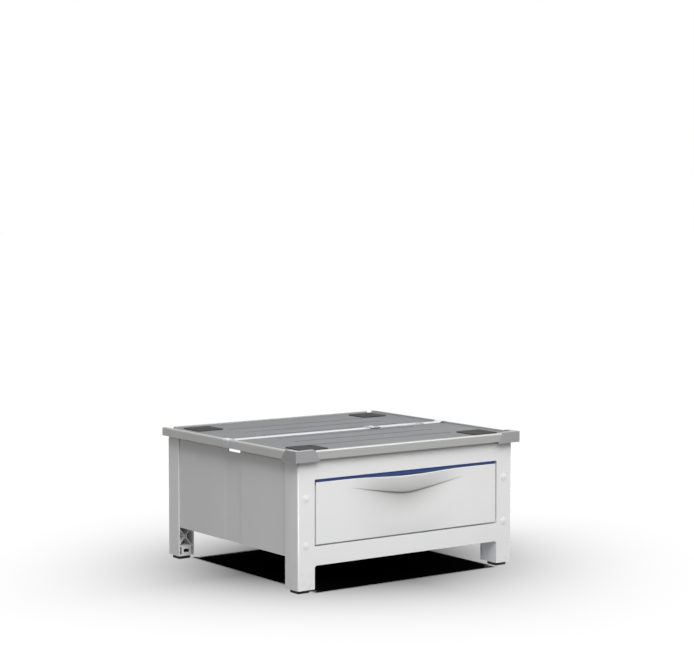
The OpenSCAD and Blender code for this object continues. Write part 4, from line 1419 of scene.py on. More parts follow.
@dataclass
class Screws:
    """A set of equal pan-head screws that stands for one node.

    Attributes:
        node: The node.
        axis: Direction of the screws.
        head_radius: Radius of a head.
        head_height: Height of a head.
        head_flat: Share of the head's radius that its nearly flat top takes.
        head_corner: Chamfer under the head's edge.
        shank_radius: Radius of a shank.
        tip_length: Length of a shank's tip.
        tip_taper: How much thinner the tip's end is.
        recess_length: Length of a bar of the cross recess.
        recess_width: Width of a bar.
        recess_depth: Depth of the recess.
        arc_steps: Steps of the head's curve.
        turn_steps: Steps of a full turn.
    """

    node: str
    axis: Axis
    head_radius: float = 4.0 * MM
    head_height: float = 2.5 * MM
    head_flat: float = 0.55
    head_corner: float = 0.12 * MM
    shank_radius: float = 2.0 * MM
    tip_length: float = 0.7 * MM
    tip_taper: float = 0.6 * MM
    recess_length: float = 4.4 * MM
    recess_width: float = 0.95 * MM
    recess_depth: float = 1.3 * MM
    arc_steps: int = 6
    turn_steps: int = 36

    def prototype(self, length: float) -> bmesh.types.BMesh:
        """Makes one screw. Its head starts at the origin and its shank points down.

        Args:
            length: Length of the shank.

        Returns:
            The screw.
        """
        radius, height = self.head_radius, self.head_height
        flat, wall = self.head_flat, 1 - self.head_flat
        outline = [(0.0, height)]
        for i in range(1, self.arc_steps + 1):
            turn = math.radians(90 * i / self.arc_steps)
            outline.append(
                (
                    radius * (flat + wall * math.sin(turn)),
                    height * (wall + flat * math.cos(turn)),
                )
            )
        outline += [
            (radius, self.head_corner),
            (radius - self.head_corner, 0.0),
            (self.shank_radius, 0.0),
            (self.shank_radius, -length + self.tip_length),
            (self.shank_radius - self.tip_taper, -length),
            (0.0, -length),
        ]
        body = turned(outline, self.turn_steps)
        # The second bar of the cross is a hair shallower, so that the two floors don't coincide.
        for long_way in (0, 1):
            half = Vector((self.recess_width / 2, self.recess_width / 2))
            half[long_way] = self.recess_length / 2
            cutter = bmesh.new()
            add_block(
                cutter,
                (-half.x, -half.y, height - self.recess_depth + long_way * 2 * NEAR),
                (half.x, half.y, height + PAST),
            )
            body = carve(body, cutter)
        return body

    def make(self, shop: Workshop) -> None:
        """Puts a screw wherever the node has one.

        Args:
            shop: The workshop.
        """
        draw = random.Random(len(self.node) * 7 + self.axis.value)
        source = shop.copy_of(self.node)
        axis = self.axis.value
        shape = bmesh.new()
        one: bmesh.types.BMesh | None = None
        for group in islands(source):
            low, high = box_of(group)
            middle = (low + high) / 2
            span = high[axis] - low[axis]
            if one is None:
                one = self.prototype(span - self.head_height)
            wide_high = max(
                self.off_axis(v.co, middle) for v in group if v.co[axis] > high[axis] - NEAR
            )
            towards = 1.0 if wide_high > (self.shank_radius + self.head_radius) / 2 else -1.0
            seat = middle.copy()
            seat[axis] = (high[axis] if towards > 0 else low[axis]) - towards * self.head_height
            way = Vector((0, 0, 0))
            way[axis] = towards
            turn = way.to_track_quat("Z", "Y").to_matrix().to_4x4()
            spin = Matrix.Rotation(draw.uniform(0, math.pi / 2), 4, "Z")
            join(shape, one, Matrix.Translation(seat) @ turn @ spin)
        source.free()
        if one is not None:
            one.free()
        shop.piece(f"{self.node}_zinc", shape, ZINC, [self.node], 40.0)

    def off_axis(self, point: Vector, middle: Vector) -> float:
        """Returns a point's distance from the screw's axis."""
        away = point - middle
        away[self.axis.value] = 0.0
        return away.length


# ---------------------------------------------------------------- slides


@dataclass
class Slides:
    """The cabinet and drawer slides with their pins and nylon rollers.

    Attributes:
        sheet_edge: Rounding of the slides' edges.
        roller_edge: Rounding of the rollers' edges.
        pin_edge: Rounding of the pins' edges.
    """

    sheet_edge: float = 0.25 * MM
    roller_edge: float = 0.6 * MM
    pin_edge: float = 0.2 * MM

    def make(self, shop: Workshop) -> None:
        """Builds the slides' pieces.

        Args:
            shop: The workshop.
        """
        for side in SIDES:
            for carrier in ("cabinet", "drawer"):
                shop.soften(
                    f"{side}_{carrier}_slide",
                    f"{side}_{carrier}_slide_sheet",
                    SLIDE,
                    Rounding(self.sheet_edge, 2),
                )
                shop.soften(
                    f"{side}_{carrier}_roller",
                    f"{side}_{carrier}_roller_nylon",
                    NYLON,
                    Rounding(self.roller_edge, 2),
                )
        for node in ("cabinet_roller_pins", "drawer_roller_pins"):
            shop.soften(node, f"{node}_turned", ZINC, Rounding(self.pin_edge, 2))


# ---------------------------------------------------------------- drawer


@dataclass
class DrawerFront:
    """The sculpted drawer front with its smile-shaped finger grip.

    Attributes:
        columns: Columns of the face's grid.
        lower_rows: Rows below the crease.
        step_rows: Rows of the crease itself.
        upper_rows: Rows above the crease.
        crowding: How closely the lower rows crowd towards the crease.
        wall: Thickness of the moulding.
        edge: Rounding of its outer edge.
        rim_gap: How far below the top the turned-in ends stop.
        top_dip: How far the top edge sags in its middle.
        dip_reach: Half the width of that sag.
        crease_height: Height of the crease in its middle.
        crease_slope: How steeply the crease climbs to its ends.
        crease_round: About half the width of its bend in the middle.
        crease_step: Height over which the lip turns to the dish.
        grip_reach: Half the width of the grip.
        grip_taper: How soon the grip grows shallow towards its ends.
        lip_depth: Depth of the lip's lower edge behind the face.
        lip_curve: How the lip bows on its way up.
        dish_depth: Depth of the dish below the crease.
        dish_height: How far down the dish reaches.
        painted_shade_most: Most painted shade beside the crease, from 0 to 1.
        painted_shade_below: How far the painted shade fades downwards.
        painted_shade_above: How far it fades upwards.
        painted_shade_middle: Where it is strongest across the face.
        painted_shade_span: Half its width.
        crease_shade: Extra painted shade in the crease.
        crease_shade_reach: How far that extra reaches.
        boss_radius: Outer radius of a screw boss.
        boss_bore: Radius of its bore.
        boss_sink: How far a boss sinks into the wall.
        boss_steps: Steps of its full turn.
        low: Lowest corner of the drawer front.
        high: Highest corner.
    """

    columns: int = 176
    lower_rows: int = 44
    step_rows: int = 4
    upper_rows: int = 18
    crowding: float = 1.35
    wall: float = 2.7 * MM
    edge: float = 1.2 * MM
    rim_gap: float = 6.0 * MM
    top_dip: float = 5.0 * MM
    dip_reach: float = 170.0 * MM
    crease_height: float = 192.5 * MM
    crease_slope: float = 0.18
    crease_round: float = 30.0 * MM
    crease_step: float = 1.0 * MM
    grip_reach: float = 160.0 * MM
    grip_taper: float = 1.4
    lip_depth: float = 6.0 * MM
    lip_curve: float = 1.15
    dish_depth: float = 9.5 * MM
    dish_height: float = 84.0 * MM
    painted_shade_most: float = 0.52
    painted_shade_below: float = 68.0 * MM
    painted_shade_above: float = 26.0 * MM
    painted_shade_middle: float = -10.0 * MM
    painted_shade_span: float = 185.0 * MM
    crease_shade: float = 0.3
    crease_shade_reach: float = 1.6 * MM
    boss_radius: float = 4.5 * MM
    boss_bore: float = 2.2 * MM
    boss_sink: float = 0.3 * MM
    boss_steps: int = 32
    low: Vector = field(default_factory=lambda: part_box("drawer_front")[0])
    high: Vector = field(default_factory=lambda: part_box("drawer_front")[1])

    def top(self, x: float) -> float:
        """Returns the height of the top edge at x."""
        if abs(x) > self.dip_reach:
            return self.high.z
        return self.high.z - self.top_dip * (1 + math.cos(math.pi * x / self.dip_reach)) / 2

    def crease(self, x: float) -> float:
        """Returns the height of the crease at x."""
        bend = math.hypot(x, self.crease_round) - self.crease_round
        return self.crease_height + self.crease_slope * bend

    def fade(self, x: float) -> float:
        """Returns how deep the grip is at x, from 0 at its ends to 1 at its middle."""
        if abs(x) >= self.grip_reach:
            return 0.0
        return math.cos(math.pi / 2 * x / self.grip_reach) ** self.grip_taper

    def depth(self, x: float, z: float) -> float:
        """Returns how far the surface lies behind the flat face.

        Args:
            x: Distance from the middle.
            z: Height.

        Returns:
            The depth at that place.
        """
        fade = self.fade(x)
        if fade == 0.0:
            return 0.0
        above = z - self.crease(x)
        if above >= self.crease_step:
            part = (above - self.crease_step) / (self.top(x) - self.crease(x) - self.crease_step)
            return self.lip_depth * fade * max(0.0, 1 - part) ** self.lip_curve
        drop = max(0.0, -above)
        dish = 0.0
        if drop < self.dish_height:
            swell = (1 + math.cos(math.pi * drop / self.dish_height)) / 2
            dish = self.dish_depth * fade ** (1 + drop / self.dish_height) * swell
        if above <= 0:
            return dish
        part = above / self.crease_step
        smooth = part * part * (3 - 2 * part)
        return dish + (self.lip_depth * fade - dish) * smooth

    def painted_shade(self, x: float, z: float) -> float:
        """Returns how much painted shade darkens the surface.

        Args:
            x: Distance from the middle.
            z: Height.

        Returns:
            The amount, from 0 to 1. Most of it lies along the crease, as a painted shade under the
            lip and a darker painted line in the crease.
        """
        above = z - self.crease(x) - self.crease_step / 2
        reach = self.painted_shade_above if above > 0 else self.painted_shade_below
        aside = min(1.0, abs(x - self.painted_shade_middle) / self.painted_shade_span)
        wide = self.painted_shade_most * (1 + math.cos(math.pi * aside)) / 2
        # A darker painted line of shade in the crease itself.
        line = self.crease_shade * self.fade(x) ** 0.5
        return min(
            1.0,
            wide * math.exp(-abs(above) / reach)
            + line * math.exp(-((above / self.crease_shade_reach) ** 2)),
        )

    def height(self, x: float, row: int) -> float:
        """Returns the height of a row of the face at x.

        Args:
            x: Distance from the middle.
            row: Number of the row, from the bottom.

        Returns:
            The height.
        """
        crease = self.crease(x)
        if row <= self.lower_rows:
            part = row / self.lower_rows
            return self.low.z + (crease - self.low.z) * (1 - (1 - part) ** self.crowding)
        row -= self.lower_rows
        if row <= self.step_rows:
            return crease + self.crease_step * row / self.step_rows
        row -= self.step_rows
        start = crease + self.crease_step
        return start + (self.top(x) - start) * row / self.upper_rows

    def make(self, shop: Workshop) -> None:
        """Builds the sculpted front, its turned-in rim and its screw bosses.

        Args:
            shop: The workshop.
        """
        rows = self.lower_rows + self.step_rows + self.upper_rows
        shape = bmesh.new()
        bmesh.ops.create_grid(shape, x_segments=self.columns, y_segments=rows, size=0.5)
        across = sorted({round(v.co.x, 5) for v in shape.verts})
        upward = sorted({round(v.co.y, 5) for v in shape.verts})
        column_of = {value: i for i, value in enumerate(across)}
        row_of = {value: i for i, value in enumerate(upward)}
        last_column, last_row = len(across) - 1, len(upward) - 1
        # Each point stores how much painted shade its white gets.
        painted_shade = shape.verts.layers.float.new("painted_shade")
        for vert in shape.verts:
            column = column_of[round(vert.co.x, 5)]
            row = round(row_of[round(vert.co.y, 5)] * rows / last_row)
            x = self.low.x + (self.high.x - self.low.x) * column / last_column
            z = self.height(x, row)
            vert.co = Vector((x, self.low.y + self.depth(x, z), z))
            vert[painted_shade] = self.painted_shade(x, z)
        self.turn_in(shape)
        bmesh.ops.recalc_face_normals(shape, faces=shape.faces)
        piece = shop.piece("drawer_front_moulding", shape, FRONT_ABS, ["drawer_front"], 60.0)
        wall = piece.modifiers.new("wall", "SOLIDIFY")
        wall.thickness = self.wall
        wall.offset = -1.0
        wall.use_even_offset = True
        piece.modifiers.move(1, 0)
        self.bosses(shop)

    def turn_in(self, shape: bmesh.types.BMesh) -> None:
        """Turns the bottom and the two ends back as a rim, and rounds the edge between.

        Args:
            shape: The face, changed in place.
        """
        stop = self.high.z - self.rim_gap

        def on_rim(edge: bmesh.types.BMEdge) -> bool:
            """Tells whether a border edge belongs to the bottom or an end."""
            a, b = edge.verts[0].co, edge.verts[1].co
            if all(abs(p.z - self.low.z) < NEAR for p in (a, b)):
                return True
            at_end = all(abs(abs(p.x) - self.high.x) < NEAR for p in (a, b))
            return at_end and max(a.z, b.z) < stop

        border = [e for e in shape.edges if e.is_boundary and on_rim(e)]
        grown = bmesh.ops.extrude_edge_only(shape, edges=border)["geom"]
        for vert in (g for g in grown if isinstance(g, bmesh.types.BMVert)):
            vert.co.y = self.high.y
        shape.normal_update()
        corner = [
            e
            for e in shape.edges
            if len(e.link_faces) == 2
            and e.calc_face_angle(0) > math.radians(60)
            and abs(e.verts[0].co.y - self.low.y) < NEAR
        ]
        bmesh.ops.bevel(
            shape,
            geom=corner,
            offset=self.edge,
            offset_type="OFFSET",
            affect="EDGES",
            segments=3,
            profile=0.5,
            material=-1,
            clamp_overlap=True,
        )

    def bosses(self, shop: Workshop) -> None:
        """Adds the four bosses behind the face that the liner's screws go into.

        Args:
            shop: The workshop.
        """
        source = shop.copy_of("drawer_front_screws")
        shape = bmesh.new()
        start = self.low.y + self.wall - self.boss_sink
        length = self.high.y - start
        outer, bore = self.boss_radius, self.boss_bore
        wall = [(outer, 0.0), (outer, length), (bore, length), (bore, 0.0)]
        one = turned(wall + wall[:1], self.boss_steps)
        for group in islands(source):
            low, high = box_of(group)
            middle = (low + high) / 2
            place = Matrix.Translation((middle.x, start, middle.z))
            join(shape, one, place @ Matrix.Rotation(-math.pi / 2, 4, "X"))
        source.free()
        one.free()
        shop.piece("drawer_front_bosses", shape, WHITE_ABS, ["drawer_front"])


@dataclass
class DrawerBox:
    """The blue liner panel and tub behind the drawer front.

    Attributes:
        liner_edge: Rounding of the liner's edges.
        tub_edge: Rounding of the tub's edges.
    """

    liner_edge: float = 0.7 * MM
    tub_edge: float = 0.6 * MM

    def make(self, shop: Workshop) -> None:
        """Builds the liner and the tub.

        Args:
            shop: The workshop.
        """
        shop.soften("drawer_liner", "drawer_liner_panel", BLUE_PP, Rounding(self.liner_edge, 2))
        shop.soften("drawer_tub", "drawer_tub_moulding", BLUE_PP, Rounding(self.tub_edge, 2))


# ---------------------------------------------------------------- strap


@dataclass
class Strap:
    """The webbing strap round the tray, with its slider and metal tip.

    Attributes:
        thickness: Thickness of the webbing.
        run: Outer face of the side rails.
        top: Top of the rails.
        bottom: Underside of the rails.
        deck: Top of the deck.
        corner: Rounding of the rails' top outer edge.
        corner_steps: Steps of the webbing's bend round it.
        foot_corner: Inner radius of its bend round the rails' bottom edge.
        foot_steps: Steps of that bend.
        lip: How far in from the rails' outer face it leaves their lip.
        lip_ease: How far the webbing's bends reach before and after an edge.
        lip_sag: How far it sags just past the lip.
        ramp: Length of its slope down to the deck.
        ramp_ease: Where the slope begins to level out.
        ramp_lift: Height of the webbing there.
        deck_stations: Where it has points on the deck.
        slider_x: Middle of the slider.
        slider_bar: Width of a slider's bar.
        slider_slot: Width of a slider's slot.
        slider_sheet: Thickness of the slider.
        slider_edge: Rounding of its edges.
        tip_edge: Rounding of the metal tip's edges.
        lead: How far the free end starts before the slider.
        straight: Distance from a slot's bend to where it lies flat.
        bar_gap: Gap between the webbing and the middle bar.
        sheet_gap: Gap between the webbing and the slider's face.
        bend: Size of the bend at the bottom of a slot.
        shoulder: How far in and how far up the bend over the bar's edge lies.
        crown: How much higher it is over the middle of the bar.
        tail: Length of the free end past the slider.
        tail_parts: Parts that it is divided into.
        strips: Strips across the webbing.
        pressed: Share of its thickness that the webbing keeps under tension.
        stitch_box: Length of the box of stitches.
        stitch_end: How far it stays from the free end.
        stitch_margin: How far it stays from the sides.
        stitch_pitch: Distance between the stitches.
        stitch_size: Length, width and height of a stitch.
    """

    thickness: float = 1.0 * MM
    run: float = 306.5 * MM
    top: float = 305.0 * MM
    bottom: float = 286.5 * MM
    deck: float = 302.0 * MM
    corner: float = 3.5 * MM
    corner_steps: int = 6
    foot_corner: float = 1.0 * MM
    foot_steps: int = 4
    lip: float = 12.0 * MM
    lip_ease: float = 1.0 * MM
    lip_sag: float = 0.15 * MM
    ramp: float = 10.0 * MM
    ramp_ease: float = 1.5 * MM
    ramp_lift: float = 0.2 * MM
    deck_stations: tuple[float, ...] = (200.0 * MM, 100.0 * MM, 0.0)
    slider_x: float = 95.0 * MM
    slider_bar: float = 4.0 * MM
    slider_slot: float = 7.0 * MM
    slider_sheet: float = 1.4 * MM
    slider_edge: float = 0.4 * MM
    tip_edge: float = 0.15 * MM
    lead: float = 6.0 * MM
    straight: float = 2.0 * MM
    bar_gap: float = 0.05 * MM
    sheet_gap: float = 0.1 * MM
    bend: float = 0.3 * MM
    shoulder: tuple[float, float] = (0.5 * MM, 0.4 * MM)
    crown: float = 0.55 * MM
    tail: float = 130.0 * MM
    tail_parts: int = 4
    strips: int = 8
    pressed: float = 0.96
    stitch_box: float = 26.0 * MM
    stitch_end: float = 14.0 * MM
    stitch_margin: float = 4.0 * MM
    stitch_pitch: float = 3.2 * MM
    stitch_size: tuple[float, float, float] = (2.4 * MM, 0.7 * MM, 0.6 * MM)

    def loop_path(self) -> list[tuple[float, float]]:
        """Returns the middle line of the loop round the tray, as (x, z)."""
        half = self.thickness / 2
        right: list[tuple[float, float]] = [(0.0, self.bottom - half)]
        right.append((self.run - self.foot_corner, self.bottom - half))
        for i in range(1, self.foot_steps + 1):
            turn = math.radians(90 * i / self.foot_steps)
            radius = self.foot_corner + half
            right.append(
                (
                    self.run - self.foot_corner + radius * math.sin(turn),
                    self.bottom + self.foot_corner - radius * math.cos(turn),
                )
            )
        for i in range(self.corner_steps + 1):
            turn = math.radians(90 * i / self.corner_steps)
            radius = self.corner + half
            right.append(
                (
                    self.run - self.corner + radius * math.cos(turn),
                    self.top - self.corner + radius * math.sin(turn),
                )
            )
        # The webbing leaves the rail's lip, slopes down beside it and lies flat on the deck.
        edge = self.run - self.lip
        right += [
            (edge + self.lip_ease, self.top + half),
            (edge - self.lip_ease, self.top + half - self.lip_sag),
            (edge - self.ramp + self.ramp_ease, self.deck + half + self.ramp_lift),
            (edge - self.ramp - self.lip_ease, self.deck + half),
        ]
        right += [(x, self.deck + half) for x in self.deck_stations]
        left = [(-x, z) for x, z in right[-2:0:-1]]
        return right + left + [right[0]]

    def tail_path(self) -> list[tuple[float, float]]:
        """Returns the middle line of the free end, threaded over the slider's middle bar."""
        half = self.thickness / 2
        low = self.deck + self.thickness + half
        high = low + self.slider_sheet + self.sheet_gap
        reach = self.slider_bar * 1.5 + self.slider_slot
        edge = self.slider_bar / 2 + half + self.bar_gap
        inward, upward = self.shoulder
        middle = (low + high) / 2
        # In from the left, up through one slot, over the middle bar and down through the other.
        away = [
            (-reach - self.lead, low),
            (-edge - self.straight, low),
            (-edge - self.bend, low + self.bend),
            (-edge, middle),
            (-edge + inward, high + upward),
            (0.0, high + self.crown),
            (edge - inward, high + upward),
            (edge, middle),
            (edge + self.bend, low + self.bend),
        ]
        start, end = edge + self.straight, reach + self.tail
        for i in range(self.tail_parts + 1):
            away.append((start + (end - start) * i / self.tail_parts, low))
        return [(self.slider_x + x, z) for x, z in away]

    def ribbon(
        self, shape: bmesh.types.BMesh, path: Sequence[tuple[float, float]], y0: float, y1: float
    ) -> None:
        """Weaves one length of webbing along a path in X and Z.

        Args:
            shape: The shape to add to.
            path: Middle line, as (x, z); it is closed where its ends meet.
            y0: Front edge.
            y1: Rear edge.
        """
        along = shape.verts.layers.float.get("along") or shape.verts.layers.float.new("along")
        closed = path[0] == path[-1]
        verts: list[bmesh.types.BMVert] = []
        length = 0.0
        for i, (x, z) in enumerate(path):
            if i:
                length += math.dist(path[i - 1], path[i])
            vert = shape.verts.new((x, y0, z))
            vert[along] = length
            verts.append(vert)
        edges = [shape.edges.new(pair) for pair in zip(verts, verts[1:])]
        width = (y1 - y0) / self.strips
        faces: list[bmesh.types.BMFace] = []
        for _ in range(self.strips):
            grown = bmesh.ops.extrude_edge_only(shape, edges=edges)["geom"]
            moved = [g for g in grown if isinstance(g, bmesh.types.BMVert)]
            bmesh.ops.translate(shape, verts=moved, vec=(0, width, 0))
            edges = [
                g
                for g in grown
                if isinstance(g, bmesh.types.BMEdge) and all(v in moved for v in g.verts)
            ]
            faces += [g for g in grown if isinstance(g, bmesh.types.BMFace)]
        uv = shape.loops.layers.uv.get("run") or shape.loops.layers.uv.new("run")
        middle = (y0 + y1) / 2
        for face in faces:
            for corner in face.loops:
                corner[uv].uv = (corner.vert[along], corner.vert.co.y - middle)
        if closed:
            ends = [v for v in shape.verts if min(v[along], abs(v[along] - length)) < SLIVER]
            bmesh.ops.remove_doubles(shape, verts=ends, dist=MERGE)

    def make(self, shop: Workshop) -> None:
        """Builds the webbing, its seams, the slider and the metal tip.

        Args:
            shop: The workshop.
        """
        low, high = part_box("strap_webbing")
        for name, path in (("strap_loop", self.loop_path()), ("strap_free_end", self.tail_path())):
            shape = bmesh.new()
            self.ribbon(shape, path, low.y, high.y)
            bmesh.ops.recalc_face_normals(shape, faces=shape.faces)
            piece = shop.piece(name, shape, POLYESTER, ["strap_webbing"], 60.0)
            wall = piece.modifiers.new("thickness", "SOLIDIFY")
            wall.thickness = self.thickness * self.pressed
            wall.offset = 0.0
            piece.modifiers.move(1, 0)
        self.stitches(shop, low.y, high.y)
        shop.soften("strap_slider", "strap_slider_pressed", ZINC, Rounding(self.slider_edge, 2))
        shop.soften("strap_end_tip", "strap_end_tip_folded", ZINC, Rounding(self.tip_edge, 2))

    def stitches(self, shop: Workshop, y0: float, y1: float) -> None:
        """Sews the doubled end down with a box of stitches and a cross.

        Args:
            shop: The workshop.
            y0: Front edge of the strap.
            y1: Rear edge.
        """
        reach = self.slider_bar * 1.5 + self.slider_slot
        x1 = self.slider_x + reach + self.tail - self.stitch_end
        x0 = x1 - self.stitch_box
        y0, y1 = y0 + self.stitch_margin, y1 - self.stitch_margin
        z = self.deck + 2 * self.thickness
        half_size = [length / 2 for length in self.stitch_size]
        shape = bmesh.new()
        corners = [(x0, y0), (x1, y0), (x1, y1), (x0, y1), (x0, y0), (x1, y1)]
        lines = list(zip(corners, corners[1:])) + [((x0, y1), (x1, y0))]
        for start, end in lines:
            run = math.dist(start, end)
            count = max(1, round(run / self.stitch_pitch))
            turn = math.atan2(end[1] - start[1], end[0] - start[0])
            for i in range(count):
                part = (i + 0.5) / count
                x = start[0] + (end[0] - start[0]) * part
                y = start[1] + (end[1] - start[1]) * part
                place = (
                    Matrix.Translation((x, y, z))
                    @ Matrix.Rotation(turn, 4, "Z")
                    @ Matrix.Diagonal((*half_size, 1.0))
                )
                bmesh.ops.create_uvsphere(
                    shape, u_segments=8, v_segments=5, radius=1.0, matrix=place
                )
        shop.piece("strap_stitches", shape, THREAD, ["strap_webbing"])


# ---------------------------------------------------------------- studio


@dataclass
class Studio:
    """The plain pale floor, the soft lights and the camera.

    The far light overhead falls on the floor alone, and keeps the ground under the drawer black.
    The softboxes light the object alone, so that they add no second shadow.

    Attributes:
        eye: Where the camera stands.
        look: Which way it looks.
        focal_pixels: Focal length, in pixels of the picture.
        picture_width: Width of the picture, in pixels.
        sensor: Width of the sensor, in millimetres.
        floor_radius: Radius of the floor.
        floor_colour: Its paint.
        floor_glow: How bright the object sees it.
        floor_gleam: How much brighter it is in reflections.
        shade_reach: Half the width and depth of the patch of painted shade on the floor.
        shade_blur: How softly that patch ends.
        shade_depth: How dark it is.
        steepest: Largest power in the patch's fall-off, which keeps it finite.
        ambient: Strength of the backdrop's light.
        mirrored: Strength of the backdrop in reflections.
        ceiling_place: Where the ceiling softbox hangs.
        ceiling_size: Its width and depth.
        ceiling_power: Its power in watts.
        key_place: Where the key softbox hangs.
        key_target: What it points at.
        key_size: Its width and height.
        key_power: Its power in watts.
        overhead: Strength of the light on the floor.
        overhead_spread: Its width as seen from the floor, in degrees.
        overhead_blockers: The pieces that shade the floor from it.
    """

    eye: tuple[float, float, float] = (-2.5454, -3.5602, 0.8370)
    look: tuple[float, float, float] = (0.58363, 0.80921, -0.06749)
    focal_pixels: float = 1917.84
    picture_width: float = 694.0
    sensor: float = 36.0
    floor_radius: float = 40.0
    floor_colour: str = "#303030"
    floor_glow: float = 0.30
    floor_gleam: float = 0.45
    shade_reach: tuple[float, float] = (0.265, 0.24)
    shade_blur: float = 0.15
    shade_depth: float = 1.95
    steepest: float = 40.0
    ambient: float = 0.10
    mirrored: float = 0.7
    ceiling_place: tuple[float, float, float] = (0.2, -1.4, 2.6)
    ceiling_size: tuple[float, float] = (4.0, 4.4)
    ceiling_power: float = 134.0
    key_place: tuple[float, float, float] = (-1.25, -2.65, 2.7)
    key_target: tuple[float, float, float] = (0.0, 0.0, 0.15)
    key_size: tuple[float, float] = (2.8, 2.5)
    key_power: float = 84.0
    overhead: float = 108.0
    overhead_spread: float = 4.5
    overhead_blockers: tuple[str, ...] = (
        "drawer_tub_moulding",
        "drawer_liner_panel",
        "drawer_front_moulding",
        "left_cabinet_slide_sheet",
        "right_cabinet_slide_sheet",
        "left_drawer_slide_sheet",
        "right_drawer_slide_sheet",
    )

    def make(self) -> None:
        """Builds the studio round the finished object."""
        self.world()
        floor = self.floor()
        self.camera()
        self.lights(floor)

    def world(self) -> None:
        """Makes the backdrop: white to the camera, and a dim white light elsewhere."""
        world = bpy.data.worlds.new("white studio")
        bpy.context.scene.world = world
        world.use_nodes = True
        tree = world.node_tree
        tree.nodes.clear()
        white = (1.0, 1.0, 1.0, 1.0)
        seen = add_node(tree, "Background", {"Color": white, "Strength": 1.0})
        lit = add_node(tree, "Background", {"Color": white, "Strength": self.ambient})
        mirrored = add_node(tree, "Background", {"Color": white, "Strength": self.mirrored})
        ray = add_node(tree, "LightPath")
        indirect = add_node(
            tree,
            "MixShader",
            {0: ray.outputs["Is Glossy Ray"], 1: lit.outputs[0], 2: mirrored.outputs[0]},
        )
        mixed = add_node(
            tree,
            "MixShader",
            {0: ray.outputs["Is Camera Ray"], 1: indirect.outputs[0], 2: seen.outputs[0]},
        )
        add_node(tree, "OutputWorld", {"Surface": mixed.outputs[0]})
        bpy.context.scene.view_settings.view_transform = "Standard"

    def floor(self) -> bpy.types.Object:
        """Makes the floor, with a painted shade that darkens it round the object, and plain white
        further out.

        Its paint is dark and its lamp strong, so that the little light which the object's
        underside sends down doesn't show. The object sees it as an even soft glow.

        Returns:
            The floor.
        """
        shape = bmesh.new()
        bmesh.ops.create_circle(shape, cap_ends=True, segments=96, radius=self.floor_radius)
        mesh = bpy.data.meshes.new("studio_floor")
        shape.to_mesh(mesh)
        shape.free()
        floor = bpy.data.objects.new("studio_floor", mesh)
        bpy.context.scene.collection.objects.link(floor)
        material = bpy.data.materials.new("pale studio floor")
        material.use_nodes = True
        tree = material.node_tree
        tree.nodes.clear()
        place = add_node(tree, "TexCoord").outputs["Object"]
        parts = add_node(tree, "SeparateXYZ", {"Vector": place})
        sides = []
        for axis, reach in zip(("X", "Y"), self.shade_reach):
            away = add_node(
                tree, "Math", {0: parts.outputs[axis]}, operation="ABSOLUTE"
            ).outputs[0]
            beyond = add_node(
                tree,
                "MapRange",
                {
                    "Value": away,
                    "From Min": reach,
                    "From Max": reach + self.shade_blur,
                    "To Min": 0.0,
                    "To Max": 1.0,
                },
                clamp=False,
            ).outputs["Result"]
            near = add_node(
                tree, "Math", {0: beyond, 1: self.steepest}, operation="MINIMUM"
            ).outputs[0]
            grown = add_node(tree, "Math", {0: near}, operation="EXPONENT").outputs[0]
            more = add_node(tree, "Math", {0: grown, 1: 1.0}, operation="ADD").outputs[0]
            sides.append(add_node(tree, "Math", {0: 1.0, 1: more}, operation="DIVIDE").outputs[0])
        both = add_node(tree, "Math", {0: sides[0], 1: sides[1]}, operation="MULTIPLY").outputs[0]
        # The painted shade darkens the floor's paint towards black round the object.
        shade = add_node(
            tree, "Math", {0: both, 1: self.shade_depth}, operation="MULTIPLY", use_clamp=True
        ).outputs[0]
        tone = add_node(
            tree,
            "Mix",
            {0: shade, 6: linear(self.floor_colour), 7: (0.0, 0.0, 0.0, 1.0)},
            data_type="RGBA",
        ).outputs[2]
        matt = add_node(tree, "BsdfDiffuse", {"Color": tone})
        ray = add_node(tree, "LightPath")
        level = add_node(
            tree,
            "Math",
            {0: ray.outputs["Is Glossy Ray"], 1: self.floor_gleam, 2: self.floor_glow},
            operation="MULTIPLY_ADD",
        ).outputs[0]
        glow = add_node(tree, "Emission", {"Color": (1.0, 1.0, 1.0, 1.0), "Strength": level})
        mixed = add_node(
            tree,
            "MixShader",
            {0: ray.outputs["Is Camera Ray"], 1: glow.outputs[0], 2: matt.outputs[0]},
        )
        add_node(tree, "OutputMaterial", {"Surface": mixed.outputs[0]})
        mesh.materials.append(material)
        return floor

    def camera(self) -> None:
        """Puts the camera where the photograph was taken from."""
        data = bpy.data.cameras.new("camera")
        data.sensor_fit = "HORIZONTAL"
        data.sensor_width = self.sensor
        data.lens = self.focal_pixels * self.sensor / self.picture_width
        data.clip_start, data.clip_end = 0.1, 100.0
        camera = bpy.data.objects.new("camera", data)
        bpy.context.scene.collection.objects.link(camera)
        camera.location = self.eye
        camera.rotation_mode = "QUATERNION"
        camera.rotation_quaternion = Vector(self.look).to_track_quat("-Z", "Y")
        bpy.context.scene.camera = camera

    def group(
        self, name: str, state: str, items: Iterable[bpy.types.Object]
    ) -> bpy.types.Collection:
        """Makes a group of objects that a lamp lights or spares.

        Args:
            name: The group's name.
            state: "INCLUDE" or "EXCLUDE".
            items: Its objects.

        Returns:
            The group.
        """
        group = bpy.data.collections.new(name)
        for item in items:
            group.objects.link(item)
        for entry in group.collection_objects:
            entry.light_linking.link_state = state
        return group

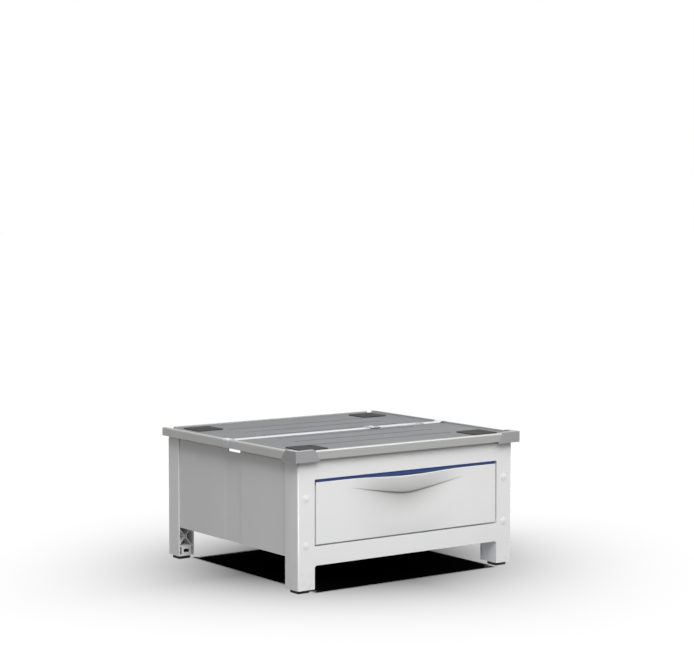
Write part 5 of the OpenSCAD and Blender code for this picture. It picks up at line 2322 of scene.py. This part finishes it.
    def softbox(
        self,
        name: str,
        place: tuple[float, float, float],
        target: tuple[float, float, float],
        size: tuple[float, float],
        power: float,
        spared: bpy.types.Collection,
    ) -> None:
        """Adds a softbox.

        Args:
            name: The lamp's name.
            place: Where it stands.
            target: What it points at.
            size: Its width and height.
            power: Its power in watts.
            spared: What it doesn't light.
        """
        data = bpy.data.lights.new(name, "AREA")
        data.shape = "RECTANGLE"
        data.size, data.size_y = size
        data.energy = power
        lamp = bpy.data.objects.new(name, data)
        bpy.context.scene.collection.objects.link(lamp)
        lamp.location = place
        lamp.rotation_mode = "QUATERNION"
        way = Vector(target) - Vector(place)
        lamp.rotation_quaternion = way.to_track_quat("-Z", "Y")
        lamp.light_linking.receiver_collection = spared

    def lights(self, floor: bpy.types.Object) -> None:
        """Hangs the floor's light, a wide ceiling softbox and a high one in front on the left.

        Args:
            floor: The floor.
        """
        data = bpy.data.lights.new("overhead light", "SUN")
        data.energy = self.overhead
        data.angle = math.radians(self.overhead_spread)
        above = bpy.data.objects.new("overhead light", data)
        bpy.context.scene.collection.objects.link(above)
        above.location = (0.0, 0.0, 4.0)
        above.light_linking.receiver_collection = self.group("floor alone", "INCLUDE", [floor])
        above.light_linking.blocker_collection = self.group(
            "shade on the floor", "INCLUDE", [bpy.data.objects[n] for n in self.overhead_blockers]
        )
        spared = self.group("spared by the softboxes", "EXCLUDE", [floor])
        x, y, _ = self.ceiling_place
        self.softbox(
            "ceiling softbox",
            self.ceiling_place,
            (x, y, 0.0),
            self.ceiling_size,
            self.ceiling_power,
            spared,
        )
        self.softbox(
            "key softbox",
            self.key_place,
            self.key_target,
            self.key_size,
            self.key_power,
            spared,
        )


def main() -> None:
    """Builds every sub-assembly, then the studio."""
    logging.basicConfig(level=logging.INFO, format="%(name)s: %(message)s")
    shop = Workshop(frame)
    for assembly in (
        Body(),
        Tray(),
        Feet(),
        Screws("frame_screws", Axis.Y),
        Screws("panel_screws", Axis.X),
        Screws("crossbar_screws", Axis.X),
        Screws("tray_screws", Axis.Z),
        Screws("cabinet_slide_screws", Axis.X),
        Screws("drawer_slide_screws", Axis.X),
        Screws("drawer_front_screws", Axis.Y),
        Slides(),
        DrawerFront(),
        DrawerBox(),
        Strap(),
    ):
        assembly.make(shop)
    Studio().make()


if __name__ == "__main__":
    main()
